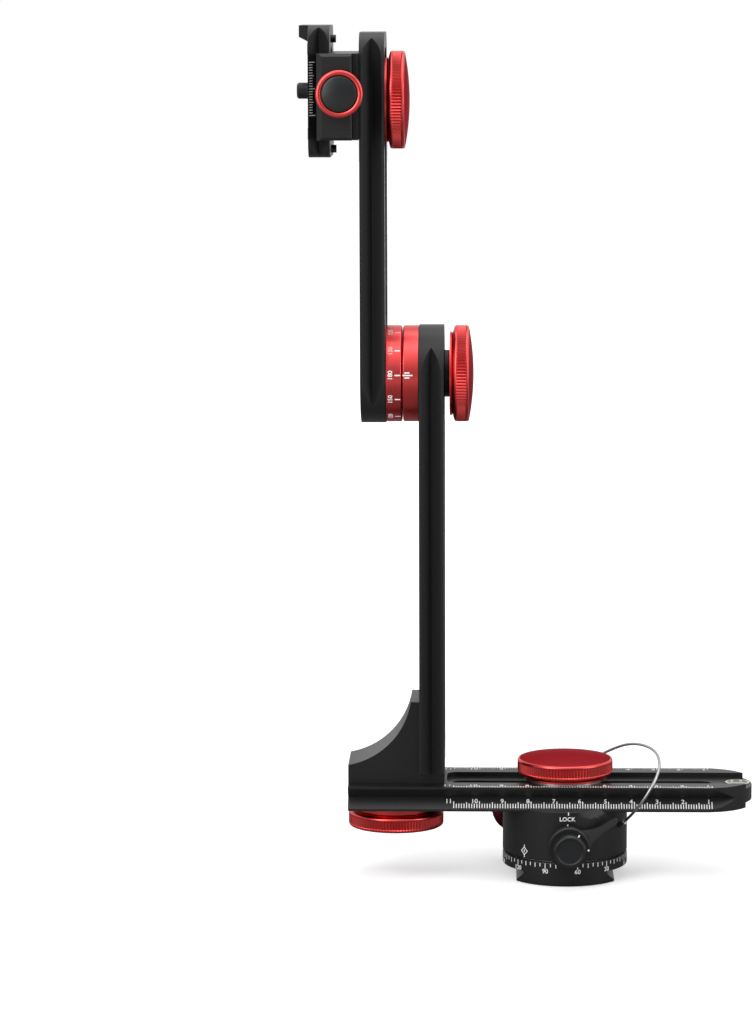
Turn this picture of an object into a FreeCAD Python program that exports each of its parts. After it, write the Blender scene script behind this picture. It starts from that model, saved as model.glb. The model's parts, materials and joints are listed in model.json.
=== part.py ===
import FreeCAD, Part
import math
import os
import re

import Sketcher
from FreeCAD import Placement, Rotation, Vector

# A panoramic tripod head. Millimetres, +Z up. The origin is the mouth of the tripod thread, the rail
# runs along X and the camera looks along Y. Every piece is bound to the Sizes sheet.

SIZES = {
    # indexing base on the tripod
    "base_radius": 24.35,
    "base_high": 9.4,
    "foot_half": 19.0,
    "foot_lip": 1.0,
    "foot_undercut": 2.8,
    "foot_high": 4.8,
    "bushing_radius": 6.8,
    "tripod_thread_radius": 4.0,
    "flange_radius": 11.0,
    "flange_thick": 3.0,
    "spindle_radius": 6.0,
    "spindle_neck": 4.5,
    "spindle_screw_circle": 8.85,
    "spindle_screw_radius": 1.05,
    "spindle_screw_head_radius": 2.05,
    "spindle_screw_head": 1.2,
    "glide_thick": 0.5,
    "glide_bore": 12.2,
    "glide_inset": 1.85,
    "index_radius": 13.0,
    "index_thick": 3.2,
    "index_notches": 24,
    "notch_deep": 0.8,
    "nut_across": 10.0,
    "nut_thick": 1.4,
    # rotor that turns on the base
    "web_thick": 10.0,
    "rotor_lip": 1.2,
    "seat_level": 28.4,
    "cavity_radius": 13.6,
    "cap_radius": 17.0,
    "cap_thick": 2.8,
    "cap_screw_circle": 15.3,
    "cap_screw_radius": 0.9,
    "cap_screw_head_radius": 1.55,
    "cap_screw_head": 1.2,
    "bush_wall": 1.5,
    "fit_gap": 0.02,
    "turn_gap": 0.05,
    "slide_gap": 0.05,
    # pan lock on the front of the rotor
    "lock_level": 16.4,
    "lock_angle": 2.2,
    "lock_boss_radius": 6.4,
    "lock_boss_proud": 1.85,
    "lock_screw_radius": 2.2,
    "hub_radius": 8.2,
    "hub_thick": 3.4,
    "lever_long": 20.2,
    "lever_tip_radius": 1.3,
    "lever_neck": 15.5,
    "lever_root_half": 4.2,
    "lever_thick": 2.0,
    "lever_set_back": 5.0,
    "lever_angle": 27.0,
    "lever_swing": 31.0,
    "lever_half_angle": 15.0,
    "scoop_slope": 0.62,
    "lock_cap_radius": 6.35,
    "lock_cap_thick": 6.2,
    "shoe_thick": 3.4,
    # click stop tension knob on the back of the rotor
    "click_level": 21.1,
    "click_angle": 123.0,
    "click_boss_radius": 5.2,
    "click_boss_proud": 4.15,
    "click_stem_radius": 3.0,
    "click_knob_radius": 11.0,
    "click_knob_thick": 7.6,
    "plunger_radius": 1.9,
    "plunger_nose": 0.9,
    "plunger_long": 4.4,
    "click_travel": 0.7,
    # extruded rails: the base rail and both arms share one section
    "rail_wide": 38.0,
    "rail_thick": 9.6,
    "groove_deep": 3.9,
    "channel_wide": 20.0,
    "channel_deep": 2.0,
    "channel_corner": 4.0,
    "slot_wide": 7.0,
    "rail_left": 84.5,
    "rail_right": 73.0,
    "rail_channel_left": 46.2,
    "rail_slot_left": 44.0,
    "rail_slot_right": 57.0,
    "level_radius": 4.7,
    "level_deep": 3.0,
    "level_proud": 0.5,
    "level_rim": 0.7,
    "level_from_end": 5.6,
    # four alike clamping knobs
    "knob_radius": 18.6,
    "knob_grip": 5.0,
    "knob_rise": 0.7,
    "knob_crown": 1.7,
    "knob_root": 15.6,
    "knob_edge": 0.8,
    "knob_flutes": 72,
    "flute_deep": 0.5,
    "stud_radius": 3.1,
    "stud_thread": 3.15,
    "washer_radius": 16.2,
    "washer_thick": 1.0,
    "bracket_washer_thick": 2.5,
    # corner bracket and lower arm
    "bracket_half": 13.2,
    "bracket_foot": 4.7,
    "bracket_heel": 7.5,
    "bracket_high": 32.4,
    "bracket_top": 3.4,
    "bracket_sweep": 30.0,
    "bracket_stud_at": 66.2,
    "bracket_peg_radius": 2.0,
    "arm_right": 47.1,
    "lower_arm_long": 173.5,
    "arm_screw_across": 9.0,
    "screw_radius": 1.5,
    "screw_head_radius": 2.8,
    "screw_head": 1.7,
    # tilt joint between the arms
    "ring_radius": 18.6,
    "ring_wide": 6.2,
    "ring_bore": 8.0,
    "ring_gap": 0.4,
    "ring_edge": 0.4,
    "ring_screw_circle": 13.0,
    "tilt_stud_radius": 4.0,
    "tilt_head_radius": 7.5,
    "spacer_radius": 9.1,
    "spacer_long": 2.1,
    "upper_arm_long": 150.0,
    "upper_arm_corner": 10.0,
    "arm_channel_start": 37.0,
    "arm_channel_end": 6.0,
    "arm_slot_start": 56.0,
    "arm_slot_end": 19.0,
    # camera clamp on the upper arm
    "clamp_drop": 25.85,
    "clamp_above": 18.1,
    "clamp_below": 14.4,
    "clamp_half": 29.0,
    "clamp_split": 20.5,
    "clamp_floor": 11.05,
    "clamp_base": 2.2,
    "clamp_bevel": 2.0,
    "clamp_base_back": 4.0,
    "clamp_edge": 1.1,
    "key_inset": 1.0,
    "jaw_gap": 0.25,
    "jaw_grip": 0.1,
    "clamp_screw_up": 3.2,
    "clamp_screw_out": 6.8,
    "clamp_screw_radius": 3.0,
    "clamp_screw_long": 23.0,
    "guide_apart": 10.5,
    "guide_radius": 1.5,
    "guide_long": 17.0,
    "guide_sunk": 11.9,
    "spring_radius": 2.4,
    "spring_long": 6.0,
    "small_knob_radius": 8.95,
    "small_knob_thick": 6.4,
    "small_knob_flutes": 40,
    "small_cap_radius": 6.7,
    "small_cap_crown": 1.0,
    # camera plate held by the clamp
    "plate_long": 49.9,
    "plate_thick": 8.2,
    "plate_below": 21.4,
    "plate_corner": 7.0,
    "plate_slot_long": 26.0,
    "plate_recess_wide": 15.4,
    "plate_recess_deep": 3.6,
    "plate_lip": 3.6,
    "plate_lip_high": 4.4,
    "camera_thread_radius": 3.1,
    "camera_neck_radius": 2.5,
    "camera_screw_reach": 5.0,
    "camera_head_radius": 7.2,
    "camera_head_thick": 2.2,
    "camera_washer_thick": 0.8,
    "pad_thick": 1.0,
    "pad_proud": 0.4,
    "pad_wide": 26.0,
    "pad_high": 4.2,
    "stop_radius": 1.5,
    "stop_proud": 1.8,
    "stop_top_in": 5.2,
    "stop_bottom_in": 2.8,
    # steel lanyard
    "wire_radius": 0.55,
    "tab_thick": 0.5,
    "tab_reach": 24.5,
    "tab_half": 2.6,
    "tab_roll_radius": 1.2,
    "tab_roll_at": 21.9,
    "ferrule_radius": 1.0,
    "ferrule_long": 5.5,
}

# Places worked out from the sizes above, also kept in the sheet.
PLACES = {
    "rotor_foot": "base_high + glide_thick",
    "web_top": "rotor_foot + web_thick",
    "index_foot": "web_top + 0.1",
    "index_top": "index_foot + index_thick",
    "cap_foot": "seat_level - cap_thick",
    "rail_foot": "seat_level + slide_gap",
    "rail_top": "rail_foot + rail_thick",
    "rail_long": "rail_left + rail_right",
    "lock_boss_reach": "base_radius + lock_boss_proud",
    "click_boss_reach": "base_radius + click_boss_proud",
    "glide_radius": "base_radius - glide_inset",
    "click_screw_start": "base_radius - 3.3",
    "hub_back": "lock_boss_reach + 0.2",
    "hub_front": "hub_back + hub_thick",
    "arm_left": "arm_right + rail_thick",
    "index_ring_left": "arm_left + ring_wide",
    "degree_ring_right": "index_ring_left + ring_gap",
    "upper_arm_right": "degree_ring_right + ring_wide",
    "upper_arm_left": "upper_arm_right + rail_thick",
    "arm_foot": "rail_top + bracket_foot",
    "tilt_level": "arm_foot + lower_arm_long - rail_wide / 2",
    "upper_arm_foot": "tilt_level - rail_wide / 2",
    "upper_arm_top": "upper_arm_foot + upper_arm_long",
    "clamp_axis": "upper_arm_top - clamp_drop",
    "clamp_foot": "clamp_axis - clamp_below",
    "clamp_top": "clamp_axis + clamp_above",
    "clamp_floor_at": "upper_arm_left + clamp_floor",
    "clamp_screw_level": "clamp_axis + clamp_screw_up",
    "clamp_screw_at": "upper_arm_left + clamp_screw_out",
    "plate_back": "clamp_floor_at + slide_gap",
    "plate_face": "plate_back + plate_thick",
    "plate_foot": "clamp_axis - plate_below",
    "plate_top": "plate_foot + plate_long",
    "plate_groove_at": "plate_back + plate_thick / 2",
    "jaw_tip_at": "plate_groove_at + 0.4",
    "stud_bore": "stud_radius + fit_gap",
    "knob_thick": "knob_rise + knob_grip + knob_edge + knob_crown",
    "tab_level": "rail_top",
    "rail_washer_foot": "rail_top + tab_thick",
}

doc = FreeCAD.newDocument("PanoramicHead")
sheet = doc.addObject("Spreadsheet::Sheet", "Sizes")


def fill_sheet():
    """Writes the driving sizes, then the places that follow from them."""
    for row, (alias, number) in enumerate(SIZES.items(), 1):
        sheet.set(f"A{row}", alias)
        sheet.set(f"B{row}", str(number))
        sheet.setAlias(f"B{row}", alias)
    for row, (alias, formula) in enumerate(PLACES.items(), len(SIZES) + 2):
        sheet.set(f"A{row}", alias)
        sheet.set(f"B{row}", "=" + formula)
        sheet.setAlias(f"B{row}", alias)
    doc.recompute()


def tied(formula):
    """The same formula, with each alias read from the sheet."""

    def named(match):
        word = match.group(0)
        return f"Sizes.{word}" if word in SIZES or word in PLACES else word

    return re.sub(r"[a-z][a-z_]*", named, str(formula))


def value(formula):
    """What a formula of the sheet's aliases comes to now."""
    return float(sheet.evalExpression(str(formula)))


# ---------------------------------------------------------------- sketches and features


def new_body(label):
    body = doc.addObject("PartDesign::Body", label)
    body.Label = label
    return body


def new_sketch(body, plane, level="0", turned="0"):
    """A sketch on one of the body's own planes, level along its normal and turned about world Z."""
    sketch = body.newObject("Sketcher::SketchObject", f"{body.Name}_sketch")
    support = [f for f in body.Origin.OriginFeatures if f.Role == f"{plane}_Plane"][0]
    sketch.AttachmentSupport = [(support, "")]
    sketch.MapMode = "FlatFace"
    angle = value(turned)
    if angle:
        sketch.AttachmentOffset = Placement(Vector(), Rotation(Vector(0, 1, 0), angle))
        sketch.setExpression("AttachmentOffset.Rotation.Angle", tied(turned))
        sketch.setExpression("AttachmentOffset.Base.x", tied(f"({level}) * sin({turned})"))
        sketch.setExpression("AttachmentOffset.Base.z", tied(f"({level}) * cos({turned})"))
    else:
        sketch.setExpression("AttachmentOffset.Base.z", tied(level))
    return sketch


def hold(sketch, geometry, point, x, y):
    """Dimensions one point of the sketch from its origin."""
    for kind, formula in (("DistanceX", x), ("DistanceY", y)):
        if formula is None:
            continue
        amount = value(formula)
        index = sketch.addConstraint(Sketcher.Constraint(kind, -1, 1, geometry, point, amount))
        sketch.setExpression(f"Constraints[{index}]", tied(formula))


def outline(sketch, corners):
    """A closed outline. A corner is (x, y), or (x, y, centre_x, centre_y, way) where an arc leaves it:
    way is 1 for counter-clockwise and -1 for clockwise."""
    count = len(corners)
    places = [Vector(value(c[0]), value(c[1]), 0) for c in corners]
    first = sketch.GeometryCount
    starts = []
    ends = []
    for number, corner in enumerate(corners):
        here = places[number]
        there = places[(number + 1) % count]
        if len(corner) == 2:
            sketch.addGeometry(Part.LineSegment(here, there))
            starts.append(1)
            ends.append(2)
            continue
        centre = Vector(value(corner[2]), value(corner[3]), 0)
        circle = Part.Circle(centre, Vector(0, 0, 1), (here - centre).Length)
        low, high = (here, there) if corner[4] > 0 else (there, here)
        angles = [math.atan2(p.y - centre.y, p.x - centre.x) for p in (low, high)]
        if angles[1] <= angles[0]:
            angles[1] += 2 * math.pi
        sketch.addGeometry(Part.ArcOfCircle(circle, *angles))
        starts.append(1 if corner[4] > 0 else 2)
        ends.append(2 if corner[4] > 0 else 1)
    for number, corner in enumerate(corners):
        follower = (number + 1) % count
        sketch.addConstraint(
            Sketcher.Constraint(
                "Coincident", first + number, ends[number], first + follower, starts[follower]
            )
        )
        hold(sketch, first + number, starts[number], corner[0], corner[1])
        if len(corner) > 2:
            chord = places[follower] - places[number]
            upright = abs(chord.y) > abs(chord.x)
            hold(
                sketch,
                first + number,
                3,
                corner[2] if upright else None,
                None if upright else corner[3],
            )


def circle(sketch, x, y, radius):
    centre = Vector(value(x), value(y), 0)
    index = sketch.addGeometry(Part.Circle(centre, Vector(0, 0, 1), value(radius)))
    hold(sketch, index, 3, x, y)
    limit = sketch.addConstraint(Sketcher.Constraint("Radius", index, value(radius)))
    sketch.setExpression(f"Constraints[{limit}]", tied(radius))


def box(x0, y0, x1, y1):
    return [(x0, y0), (x1, y0), (x1, y1), (x0, y1)]


def draw(sketch, loops):
    """Each loop is a list of corners, or one (x, y, radius) for a circle."""
    for loop in loops:
        if isinstance(loop, tuple):
            circle(sketch, *loop)
        else:
            outline(sketch, loop)


def extruded(body, kind, plane, loops, low, high, turned="0"):
    """Pads or pockets the loops between two levels along the plane's normal."""
    pad = kind == "Pad"
    sketch = new_sketch(body, plane, low if pad else high, turned)
    draw(sketch, loops)
    before = 0 if body.Tip is None else body.Shape.Volume
    feature = body.newObject(f"PartDesign::{kind}", f"{body.Name}_{kind.lower()}")
    feature.Profile = sketch
    feature.setExpression("Length", tied(f"({high}) - ({low})"))
    doc.recompute()
    if not pad and body.Shape.Volume >= before - 1e-6:
        raise RuntimeError(f"{body.Label}: a pocket cut nothing")
    return feature


def pad(body, plane, loops, low, high, turned="0"):
    return extruded(body, "Pad", plane, loops, low, high, turned)


def pocket(body, plane, loops, low, high, turned="0"):
    return extruded(body, "Pocket", plane, loops, low, high, turned)


def repeat(body, feature, count):
    """The feature again, evenly round the body's Z axis."""
    pattern = body.newObject("PartDesign::PolarPattern", f"{body.Name}_pattern")
    pattern.Originals = [feature]
    pattern.Axis = (feature.Profile[0], ["N_Axis"])
    pattern.Angle = 360
    pattern.setExpression("Occurrences", tied(count))
    body.Tip = pattern
    doc.recompute()


def revolve(body, loops, angle=360):
    """Turns a profile of (radius, height) about the body's Z axis."""
    sketch = new_sketch(body, "XZ")
    draw(sketch, loops)
    feature = body.newObject("PartDesign::Revolution", f"{body.Name}_turned")
    feature.Profile = sketch
    feature.ReferenceAxis = (sketch, ["V_Axis"])
    feature.Angle = angle
    doc.recompute()
    return feature


def lathe(label, *loops):
    body = new_body(label)
    revolve(body, loops)
    return body


UP = Rotation()
RIGHTWARD = Rotation(Vector(0, 1, 0), 90)  # local Z along +X
LEFTWARD = Rotation(Vector(0, 1, 0), -90)  # local Z along -X
DOWN = Rotation(Vector(1, 0, 0), 180)
FORWARD = Rotation(Vector(1, 0, 0), 90)  # local Z along -Y, towards the front
STANDING = Rotation(Vector(0, 1, 0), -90)  # a rail's local X along +Z, its thickness along -X


def place(body, x="0", y="0", z="0", turn=UP):
    """Sets the body down at a place that follows the sheet."""
    body.Placement = Placement(Vector(), turn)
    for axis, formula in (("x", x), ("y", y), ("z", z)):
        body.setExpression(f"Placement.Base.{axis}", tied(formula))
    return body


def screws(label, plane, spots, head_radius, head, shank, length, socket):
    """A group of like socket screws, heads up along the plane's normal, seated at level 0."""
    body = new_body(label)
    pad(body, plane, [(x, y, head_radius) for x, y in spots], "0", head)
    pad(body, plane, [(x, y, shank) for x, y in spots], f"-({length})", "0")
    pocket(body, plane, [(x, y, socket) for x, y in spots], f"({head}) * 0.4", head)
    return body


def around(count, circle_radius, first=0.0):
    """Evenly spaced spots on a circle, as formulas."""
    angles = [first + 360.0 * n / count for n in range(count)]
    return [
        (f"({circle_radius}) * cos({angle})", f"({circle_radius}) * sin({angle})")
        for angle in angles
    ]


# ---------------------------------------------------------------- indexing base


def base_ring():
    body = lathe(
        "base_ring",
        [
            ("bushing_radius + fit_gap", "0"),
            ("base_radius - 0.6", "0"),
            ("base_radius", "0.6"),
            ("base_radius", "base_high - 0.4"),
            ("base_radius - 0.4", "base_high"),
            ("flange_radius + fit_gap", "base_high"),
            ("flange_radius + fit_gap", "base_high - flange_thick"),
            ("bushing_radius + fit_gap", "base_high - flange_thick"),
        ],
    )
    for side in ("", "-"):
        dovetail = [
            (f"{side}foot_half", "-1"),
            (f"{side}foot_half", "foot_lip"),
            (f"{side}(foot_half - foot_undercut)", "foot_lip + foot_undercut"),
            (f"{side}(foot_half - foot_undercut)", "foot_high"),
            (f"{side}(base_radius + 1)", "foot_high"),
            (f"{side}(base_radius + 1)", "-1"),
        ]
        pocket(body, "XZ", [dovetail], "-(base_radius + 1)", "base_radius + 1")
    for x, y in around(4, "base_radius - 15.5", 45):
        pocket(body, "XY", [(x, y, "1.1")], "base_high - flange_thick - 3", "base_high")
    return body


def tripod_bushing():
    return lathe(
        "tripod_bushing",
        [
            ("tripod_thread_radius", "0"),
            ("bushing_radius", "0"),
            ("bushing_radius", "base_high - flange_thick"),
            ("tripod_thread_radius", "base_high - flange_thick"),
        ],
    )


def pan_spindle():
    floor = "base_high - flange_thick"
    body = lathe(
        "pan_spindle",
        [
            ("tripod_thread_radius + 0.2", floor),
            ("flange_radius", floor),
            ("flange_radius", "base_high"),
            ("spindle_radius", "base_high"),
            ("spindle_radius", "index_foot"),
            ("spindle_neck", "index_foot"),
            ("spindle_neck", "cap_foot - 0.4"),
            ("0", "cap_foot - 0.4"),
            ("0", "base_high + 1.5"),
            ("tripod_thread_radius + 0.2", "base_high + 1.5"),
        ],
    )
    for x, y in around(4, "spindle_screw_circle", 45):
        pocket(body, "XY", [(x, y, "spindle_screw_radius + 0.25")], floor, "base_high")
        sink = [(x, y, "spindle_screw_head_radius + 0.05")]
        pocket(body, "XY", sink, "base_high - spindle_screw_head - 0.1", "base_high")
    return body


def spindle_screws():
    body = screws(
        "spindle_screws",
        "XY",
        around(4, "spindle_screw_circle", 45),
        "spindle_screw_head_radius",
        "spindle_screw_head",
        "spindle_screw_radius",
        "flange_thick + 1.4",
        "spindle_screw_radius - 0.25",
    )
    return place(body, z="base_high - spindle_screw_head - 0.05")


def glide_washer():
    return lathe(
        "glide_washer",
        box("glide_bore", "base_high", "glide_radius", "rotor_foot - 0.02"),
    )


def index_ring():
    body = lathe(
        "index_ring",
        box("spindle_neck + fit_gap", "index_foot", "index_radius", "index_top"),
    )
    notch = pocket(
        body,
        "XY",
        [
            [
                ("index_radius - notch_deep", "0"),
                ("index_radius + 0.5", "-notch_deep - 0.5"),
                ("index_radius + 0.5", "notch_deep + 0.5"),
            ]
        ],
        "index_foot",
        "index_top",
    )
    repeat(body, notch, "index_notches")
    return place_turned(body, "click_angle")


def place_turned(body, angle):
    """Turns a body about Z so that its X axis points at an angle."""
    body.Placement = Placement(Vector(), Rotation(Vector(0, 0, 1), value(angle)))
    body.setExpression("Placement.Rotation.Angle", tied(angle))
    return body


def spindle_nut():
    body = new_body("spindle_nut")
    half = "nut_across / 2"
    corner = "nut_across / sqrt(3)"
    hexagon = [
        (corner, "0"),
        (f"{corner} / 2", half),
        (f"-{corner} / 2", half),
        (f"-({corner})", "0"),
        (f"-{corner} / 2", f"-{half}"),
        (f"{corner} / 2", f"-{half}"),
    ]
    bore = ("0", "0", "spindle_neck + fit_gap")
    pad(body, "XY", [hexagon, bore], "index_top", "index_top + nut_thick")
    return body


# ---------------------------------------------------------------- rotor


def rotor_body():
    body = lathe(
        "rotor_body",
        [
            ("spindle_radius + bush_wall + fit_gap", "rotor_foot"),
            ("base_radius - 0.4", "rotor_foot"),
            ("base_radius", "rotor_foot + 0.4"),
            ("base_radius", "seat_level + rotor_lip - 0.3"),
            ("base_radius - 0.3", "seat_level + rotor_lip"),
            ("cap_radius + fit_gap", "seat_level + rotor_lip"),
            ("cap_radius + fit_gap", "cap_foot"),
            ("cavity_radius", "cap_foot"),
            ("cavity_radius", "web_top"),
            ("spindle_radius + bush_wall + fit_gap", "web_top"),
        ],
    )
    # boss that carries the lock lever
    pad(
        body,
        "XZ",
        [("0", "lock_level", "lock_boss_radius")],
        "base_radius - 4",
        "lock_boss_reach",
        "lock_angle",
    )
    # boss that carries the click stop screw
    pad(
        body,
        "XZ",
        [("0", "click_level", "click_boss_radius")],
        "base_radius - 4",
        "click_boss_reach",
        "click_angle + 90",
    )
    # seat for the rail, between a front and a back lip
    seat = "rail_wide / 2 + slide_gap"
    pocket(
        body,
        "XY",
        [box("-(base_radius + 1)", f"-({seat})", "base_radius + 1", seat)],
        "seat_level",
        "seat_level + rotor_lip + 1",
    )
    # the lever sweeps through this scoop on its way to the lock mark
    scoop(body)
    pocket(
        body,
        "XZ",
        [("0", "lock_level", "lock_screw_radius + turn_gap")],
        "spindle_radius",
        "lock_boss_reach + 1",
        "lock_angle",
    )
    pocket(
        body,
        "XZ",
        [("0", "click_level", "click_stem_radius + turn_gap")],
        "cavity_radius - 1",
        "click_boss_reach + 1",
        "click_angle + 90",
    )
    for x, y in around(4, "cap_screw_circle", 45):
        thread = [(x, y, "cap_screw_radius + 0.05")]
        pocket(body, "XY", thread, "cap_foot - cap_thick - 2", "cap_foot + 0.5")
    return body


def lever_back(radius):
    """How far out the back of the bent lever stands at a radius from its pivot."""
    slope = "lever_set_back / (lever_long - hub_radius)"
    return f"hub_back - ({radius} - hub_radius) * {slope}"


def scoop(body):
    """A groove about the lever's pivot, over the part of the turn that the lever sweeps."""
    sketch = new_sketch(body, "YZ")
    start = 90 - value("lever_angle + lever_swing + lever_half_angle")
    turn = Rotation(Vector(0, 1, 0), value("lock_angle")) * Rotation(Vector(1, 0, 0), start)
    sketch.AttachmentOffset = Placement(Vector(0, value("lock_level"), 0), turn)
    sketch.setExpression("AttachmentOffset.Base.y", tied("lock_level"))
    sketch.setExpression("AttachmentOffset.Base.z", None)
    reach = "lever_long + lever_tip_radius + 1"
    outline(
        sketch,
        [
            ("-(base_radius + 6)", "hub_radius"),
            ("-(hub_back - 0.5)", "hub_radius"),
            (f"-(hub_back - 0.5 - ({reach} - hub_radius) * scoop_slope)", reach),
            ("-(base_radius + 6)", reach),
        ],
    )
    groove = body.newObject("PartDesign::Groove", f"{body.Name}_scoop")
    groove.Profile = sketch
    groove.ReferenceAxis = (sketch, ["H_Axis"])
    groove.setExpression("Angle", tied("lever_swing + lever_half_angle * 2"))
    before = body.Shape.Volume
    doc.recompute()
    if body.Shape.Volume >= before - 1e-6:
        raise RuntimeError("the scoop cut nothing")


def rotor_cap():
    body = lathe(
        "rotor_cap",
        box("stud_thread", "cap_foot", "cap_radius", "seat_level - 0.03"),
    )
    for x, y in around(4, "cap_screw_circle", 45):
        pocket(body, "XY", [(x, y, "cap_screw_radius + 0.15")], "cap_foot - 1", "seat_level")
        sink = [(x, y, "cap_screw_head_radius + 0.05")]
        pocket(body, "XY", sink, "seat_level - cap_screw_head - 0.3", "seat_level")
    return body


def cap_screws():
    body = screws(
        "cap_screws",
        "XY",
        around(4, "cap_screw_circle", 45),
        "cap_screw_head_radius",
        "cap_screw_head",
        "cap_screw_radius",
        "cap_thick + 1.5",
        "cap_screw_radius - 0.2",
    )
    return place(body, z="seat_level - cap_screw_head - 0.25")


def spindle_bush():
    body = lathe(
        "spindle_bush",
        box(
            "spindle_radius + turn_gap",
            "rotor_foot",
            "spindle_radius + bush_wall",
            "web_top",
        ),
    )
    pocket(
        body,
        "XZ",
        [("0", "lock_level", "lock_screw_radius + turn_gap")],
        "spindle_radius - 1",
        "spindle_radius + bush_wall + 1",
        "lock_angle",
    )
    return body


def brake_shoe():
    body = new_body("brake_shoe")
    pad(
        body,
        "XZ",
        [("0", "lock_level", "lock_screw_radius")],
        "spindle_radius + 0.1",
        "spindle_radius + 0.1 + shoe_thick",
        "lock_angle",
    )
    return body


def lock_screw():
    body = new_body("lock_screw")
    pad(
        body,
        "XZ",
        [("0", "lock_level", "lock_screw_radius")],
        "spindle_radius + 0.15 + shoe_thick",
        "hub_front + 2.5",
        "lock_angle",
    )
    return body


def lock_lever():
    """A round hub and a tapered arm that bends back round the rotor: the plan of the lever, cut out
    of a turned bell."""
    bell = lathe(
        "lock_lever_bell",
        [
            ("lock_screw_radius + fit_gap", "hub_back"),
            ("hub_radius", "hub_back"),
            ("lever_long + lever_tip_radius", lever_back("(lever_long + lever_tip_radius)")),
            (
                "lever_long + lever_tip_radius",
                f"{lever_back('(lever_long + lever_tip_radius)')} + lever_thick",
            ),
            ("hub_radius + 0.6", f"{lever_back('(hub_radius + 0.6)')} + lever_thick"),
            ("hub_radius", "hub_front - 0.6"),
            ("hub_radius - 0.6", "hub_front"),
            ("lock_screw_radius + fit_gap", "hub_front"),
        ],
    )
    plan = new_body("lock_lever_plan")
    # each flank sweeps in from the hub to a slim neck, as an arc that ends level with the tip
    root = "sqrt(hub_radius^2 - lever_root_half^2)"
    drop = "(lever_root_half - lever_tip_radius)"
    sweep = f"(((lever_neck - {root})^2 + {drop}^2) / (2 * {drop}))"
    flank = f"lever_tip_radius + {sweep}"
    arm = [
        (root, "-lever_root_half", "lever_neck", f"-({flank})", -1),
        ("lever_neck", "-lever_tip_radius"),
        ("lever_long", "-lever_tip_radius", "lever_long", "0", 1),
        ("lever_long", "lever_tip_radius"),
        ("lever_neck", "lever_tip_radius", "lever_neck", flank, -1),
        (root, "lever_root_half"),
    ]
    pad(plan, "XY", [arm], "0", "hub_front + 10")
    pad(plan, "XY", [("0", "0", "hub_radius")], "0", "hub_front + 10")
    lever = doc.addObject("Part::MultiCommon", "lock_lever")
    lever.Label = "lock_lever"
    lever.Shapes = [bell, plan]
    facing = Rotation(Vector(0, 0, 1), value("lock_angle")) * FORWARD
    lever.Placement = Placement(Vector(), facing * Rotation(Vector(0, 0, 1), value("lever_angle")))
    lever.setExpression("Placement.Base.z", tied("lock_level"))
    doc.recompute()
    return lever


def lock_cap():
    body = lathe(
        "lock_cap",
        [
            ("lock_screw_radius + fit_gap", "0.05"),
            ("lock_cap_radius - 0.5", "0.05"),
            ("lock_cap_radius", "0.6"),
            ("lock_cap_radius", "lock_cap_thick - 0.9"),
            ("lock_cap_radius - 0.7", "lock_cap_thick"),
            ("lock_cap_radius - 1.3", "lock_cap_thick"),
            ("lock_cap_radius - 1.7", "lock_cap_thick - 0.5"),
            ("0", "lock_cap_thick - 0.7"),
            ("0", "2.6"),
            ("lock_screw_radius + fit_gap", "2.6"),
        ],
    )
    facing = Rotation(Vector(0, 0, 1), value("lock_angle")) * FORWARD
    return place(
        body,
        x="hub_front * sin(lock_angle)",
        y="-hub_front * cos(lock_angle)",
        z="lock_level",
        turn=facing,
    )


# ---------------------------------------------------------------- click stop


def radial(body, start):
    """Lays a turned piece along the click stop's axis, starting at a distance from the pan axis."""
    out = Rotation(Vector(0, 0, 1), value("click_angle")) * RIGHTWARD
    return place(
        body,
        x=f"({start}) * cos(click_angle)",
        y=f"({start}) * sin(click_angle)",
        z="click_level",
        turn=out,
    )


def click_plunger():
    body = lathe(
        "click_plunger",
        [
            ("0", "0"),
            ("plunger_nose / 3", "0"),
            ("plunger_nose", "0.6"),
            ("plunger_nose", "1.8"),
            ("plunger_radius", "1.8"),
            ("plunger_radius", "plunger_long"),
            ("0", "plunger_long"),
        ],
    )
    return radial(body, "index_radius - notch_deep + 0.35")


def click_spring():
    start = "index_radius - notch_deep + 0.4 + plunger_long + click_travel"
    spring_long = f"click_screw_start - 0.05 - ({start})"
    body = lathe(
        "click_spring",
        box("plunger_radius - 0.6", "0", "plunger_radius", spring_long),
    )
    return radial(body, start)


def click_screw():
    body = lathe(
        "click_screw",
        [
            ("0", "0"),
            ("click_stem_radius", "0"),
            ("click_stem_radius", "click_boss_reach + 4 - click_screw_start"),
            ("0", "click_boss_reach + 4 - click_screw_start"),
        ],
    )
    return radial(body, "click_screw_start")


def flutes(body, radius, low, high, count):
    """Straight V grooves round a knob's edge."""
    flute = pocket(
        body,
        "XY",
        [
            [
                (f"{radius} - flute_deep", "0"),
                (f"{radius} + 0.3", "-(flute_deep + 0.1)"),
                (f"{radius} + 0.3", "flute_deep + 0.1"),
            ]
        ],
        low,
        high,
    )
    repeat(body, flute, count)


def small_knob(label, radius, thick, bore):
    """A fluted ring round a well that takes the domed cap."""
    body = lathe(
        label,
        [
            (bore, "0"),
            (f"{radius} - 1.6", "0"),
            (radius, "1"),
            (radius, f"{thick} - 0.5"),
            (f"{radius} - 0.5", thick),
            ("small_cap_radius + 0.1", thick),
            ("small_cap_radius + 0.1", "2.4"),
            (bore, "2.4"),
        ],
    )
    flutes(body, radius, "1", f"{thick} - 0.5", "small_knob_flutes")
    return body


def small_cap(label, thick, bore):
    """A black cap that domes a little out of the ring, with a blind bore for its screw."""
    rise = "small_cap_crown"
    rim = "small_cap_radius"
    body = lathe(
        label,
        [
            ("0", "3.9"),
            (bore, "3.9"),
            (bore, "2.45"),
            (rim, "2.45"),
            (
                rim,
                f"{thick} + 0.1",
                "0",
                f"{thick} + 0.1 + {rise} - ({rim}^2 + {rise}^2) / (2 * {rise})",
                1,
            ),
            ("0", f"{thick} + 0.1 + {rise}"),
        ],
    )
    return body


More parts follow.
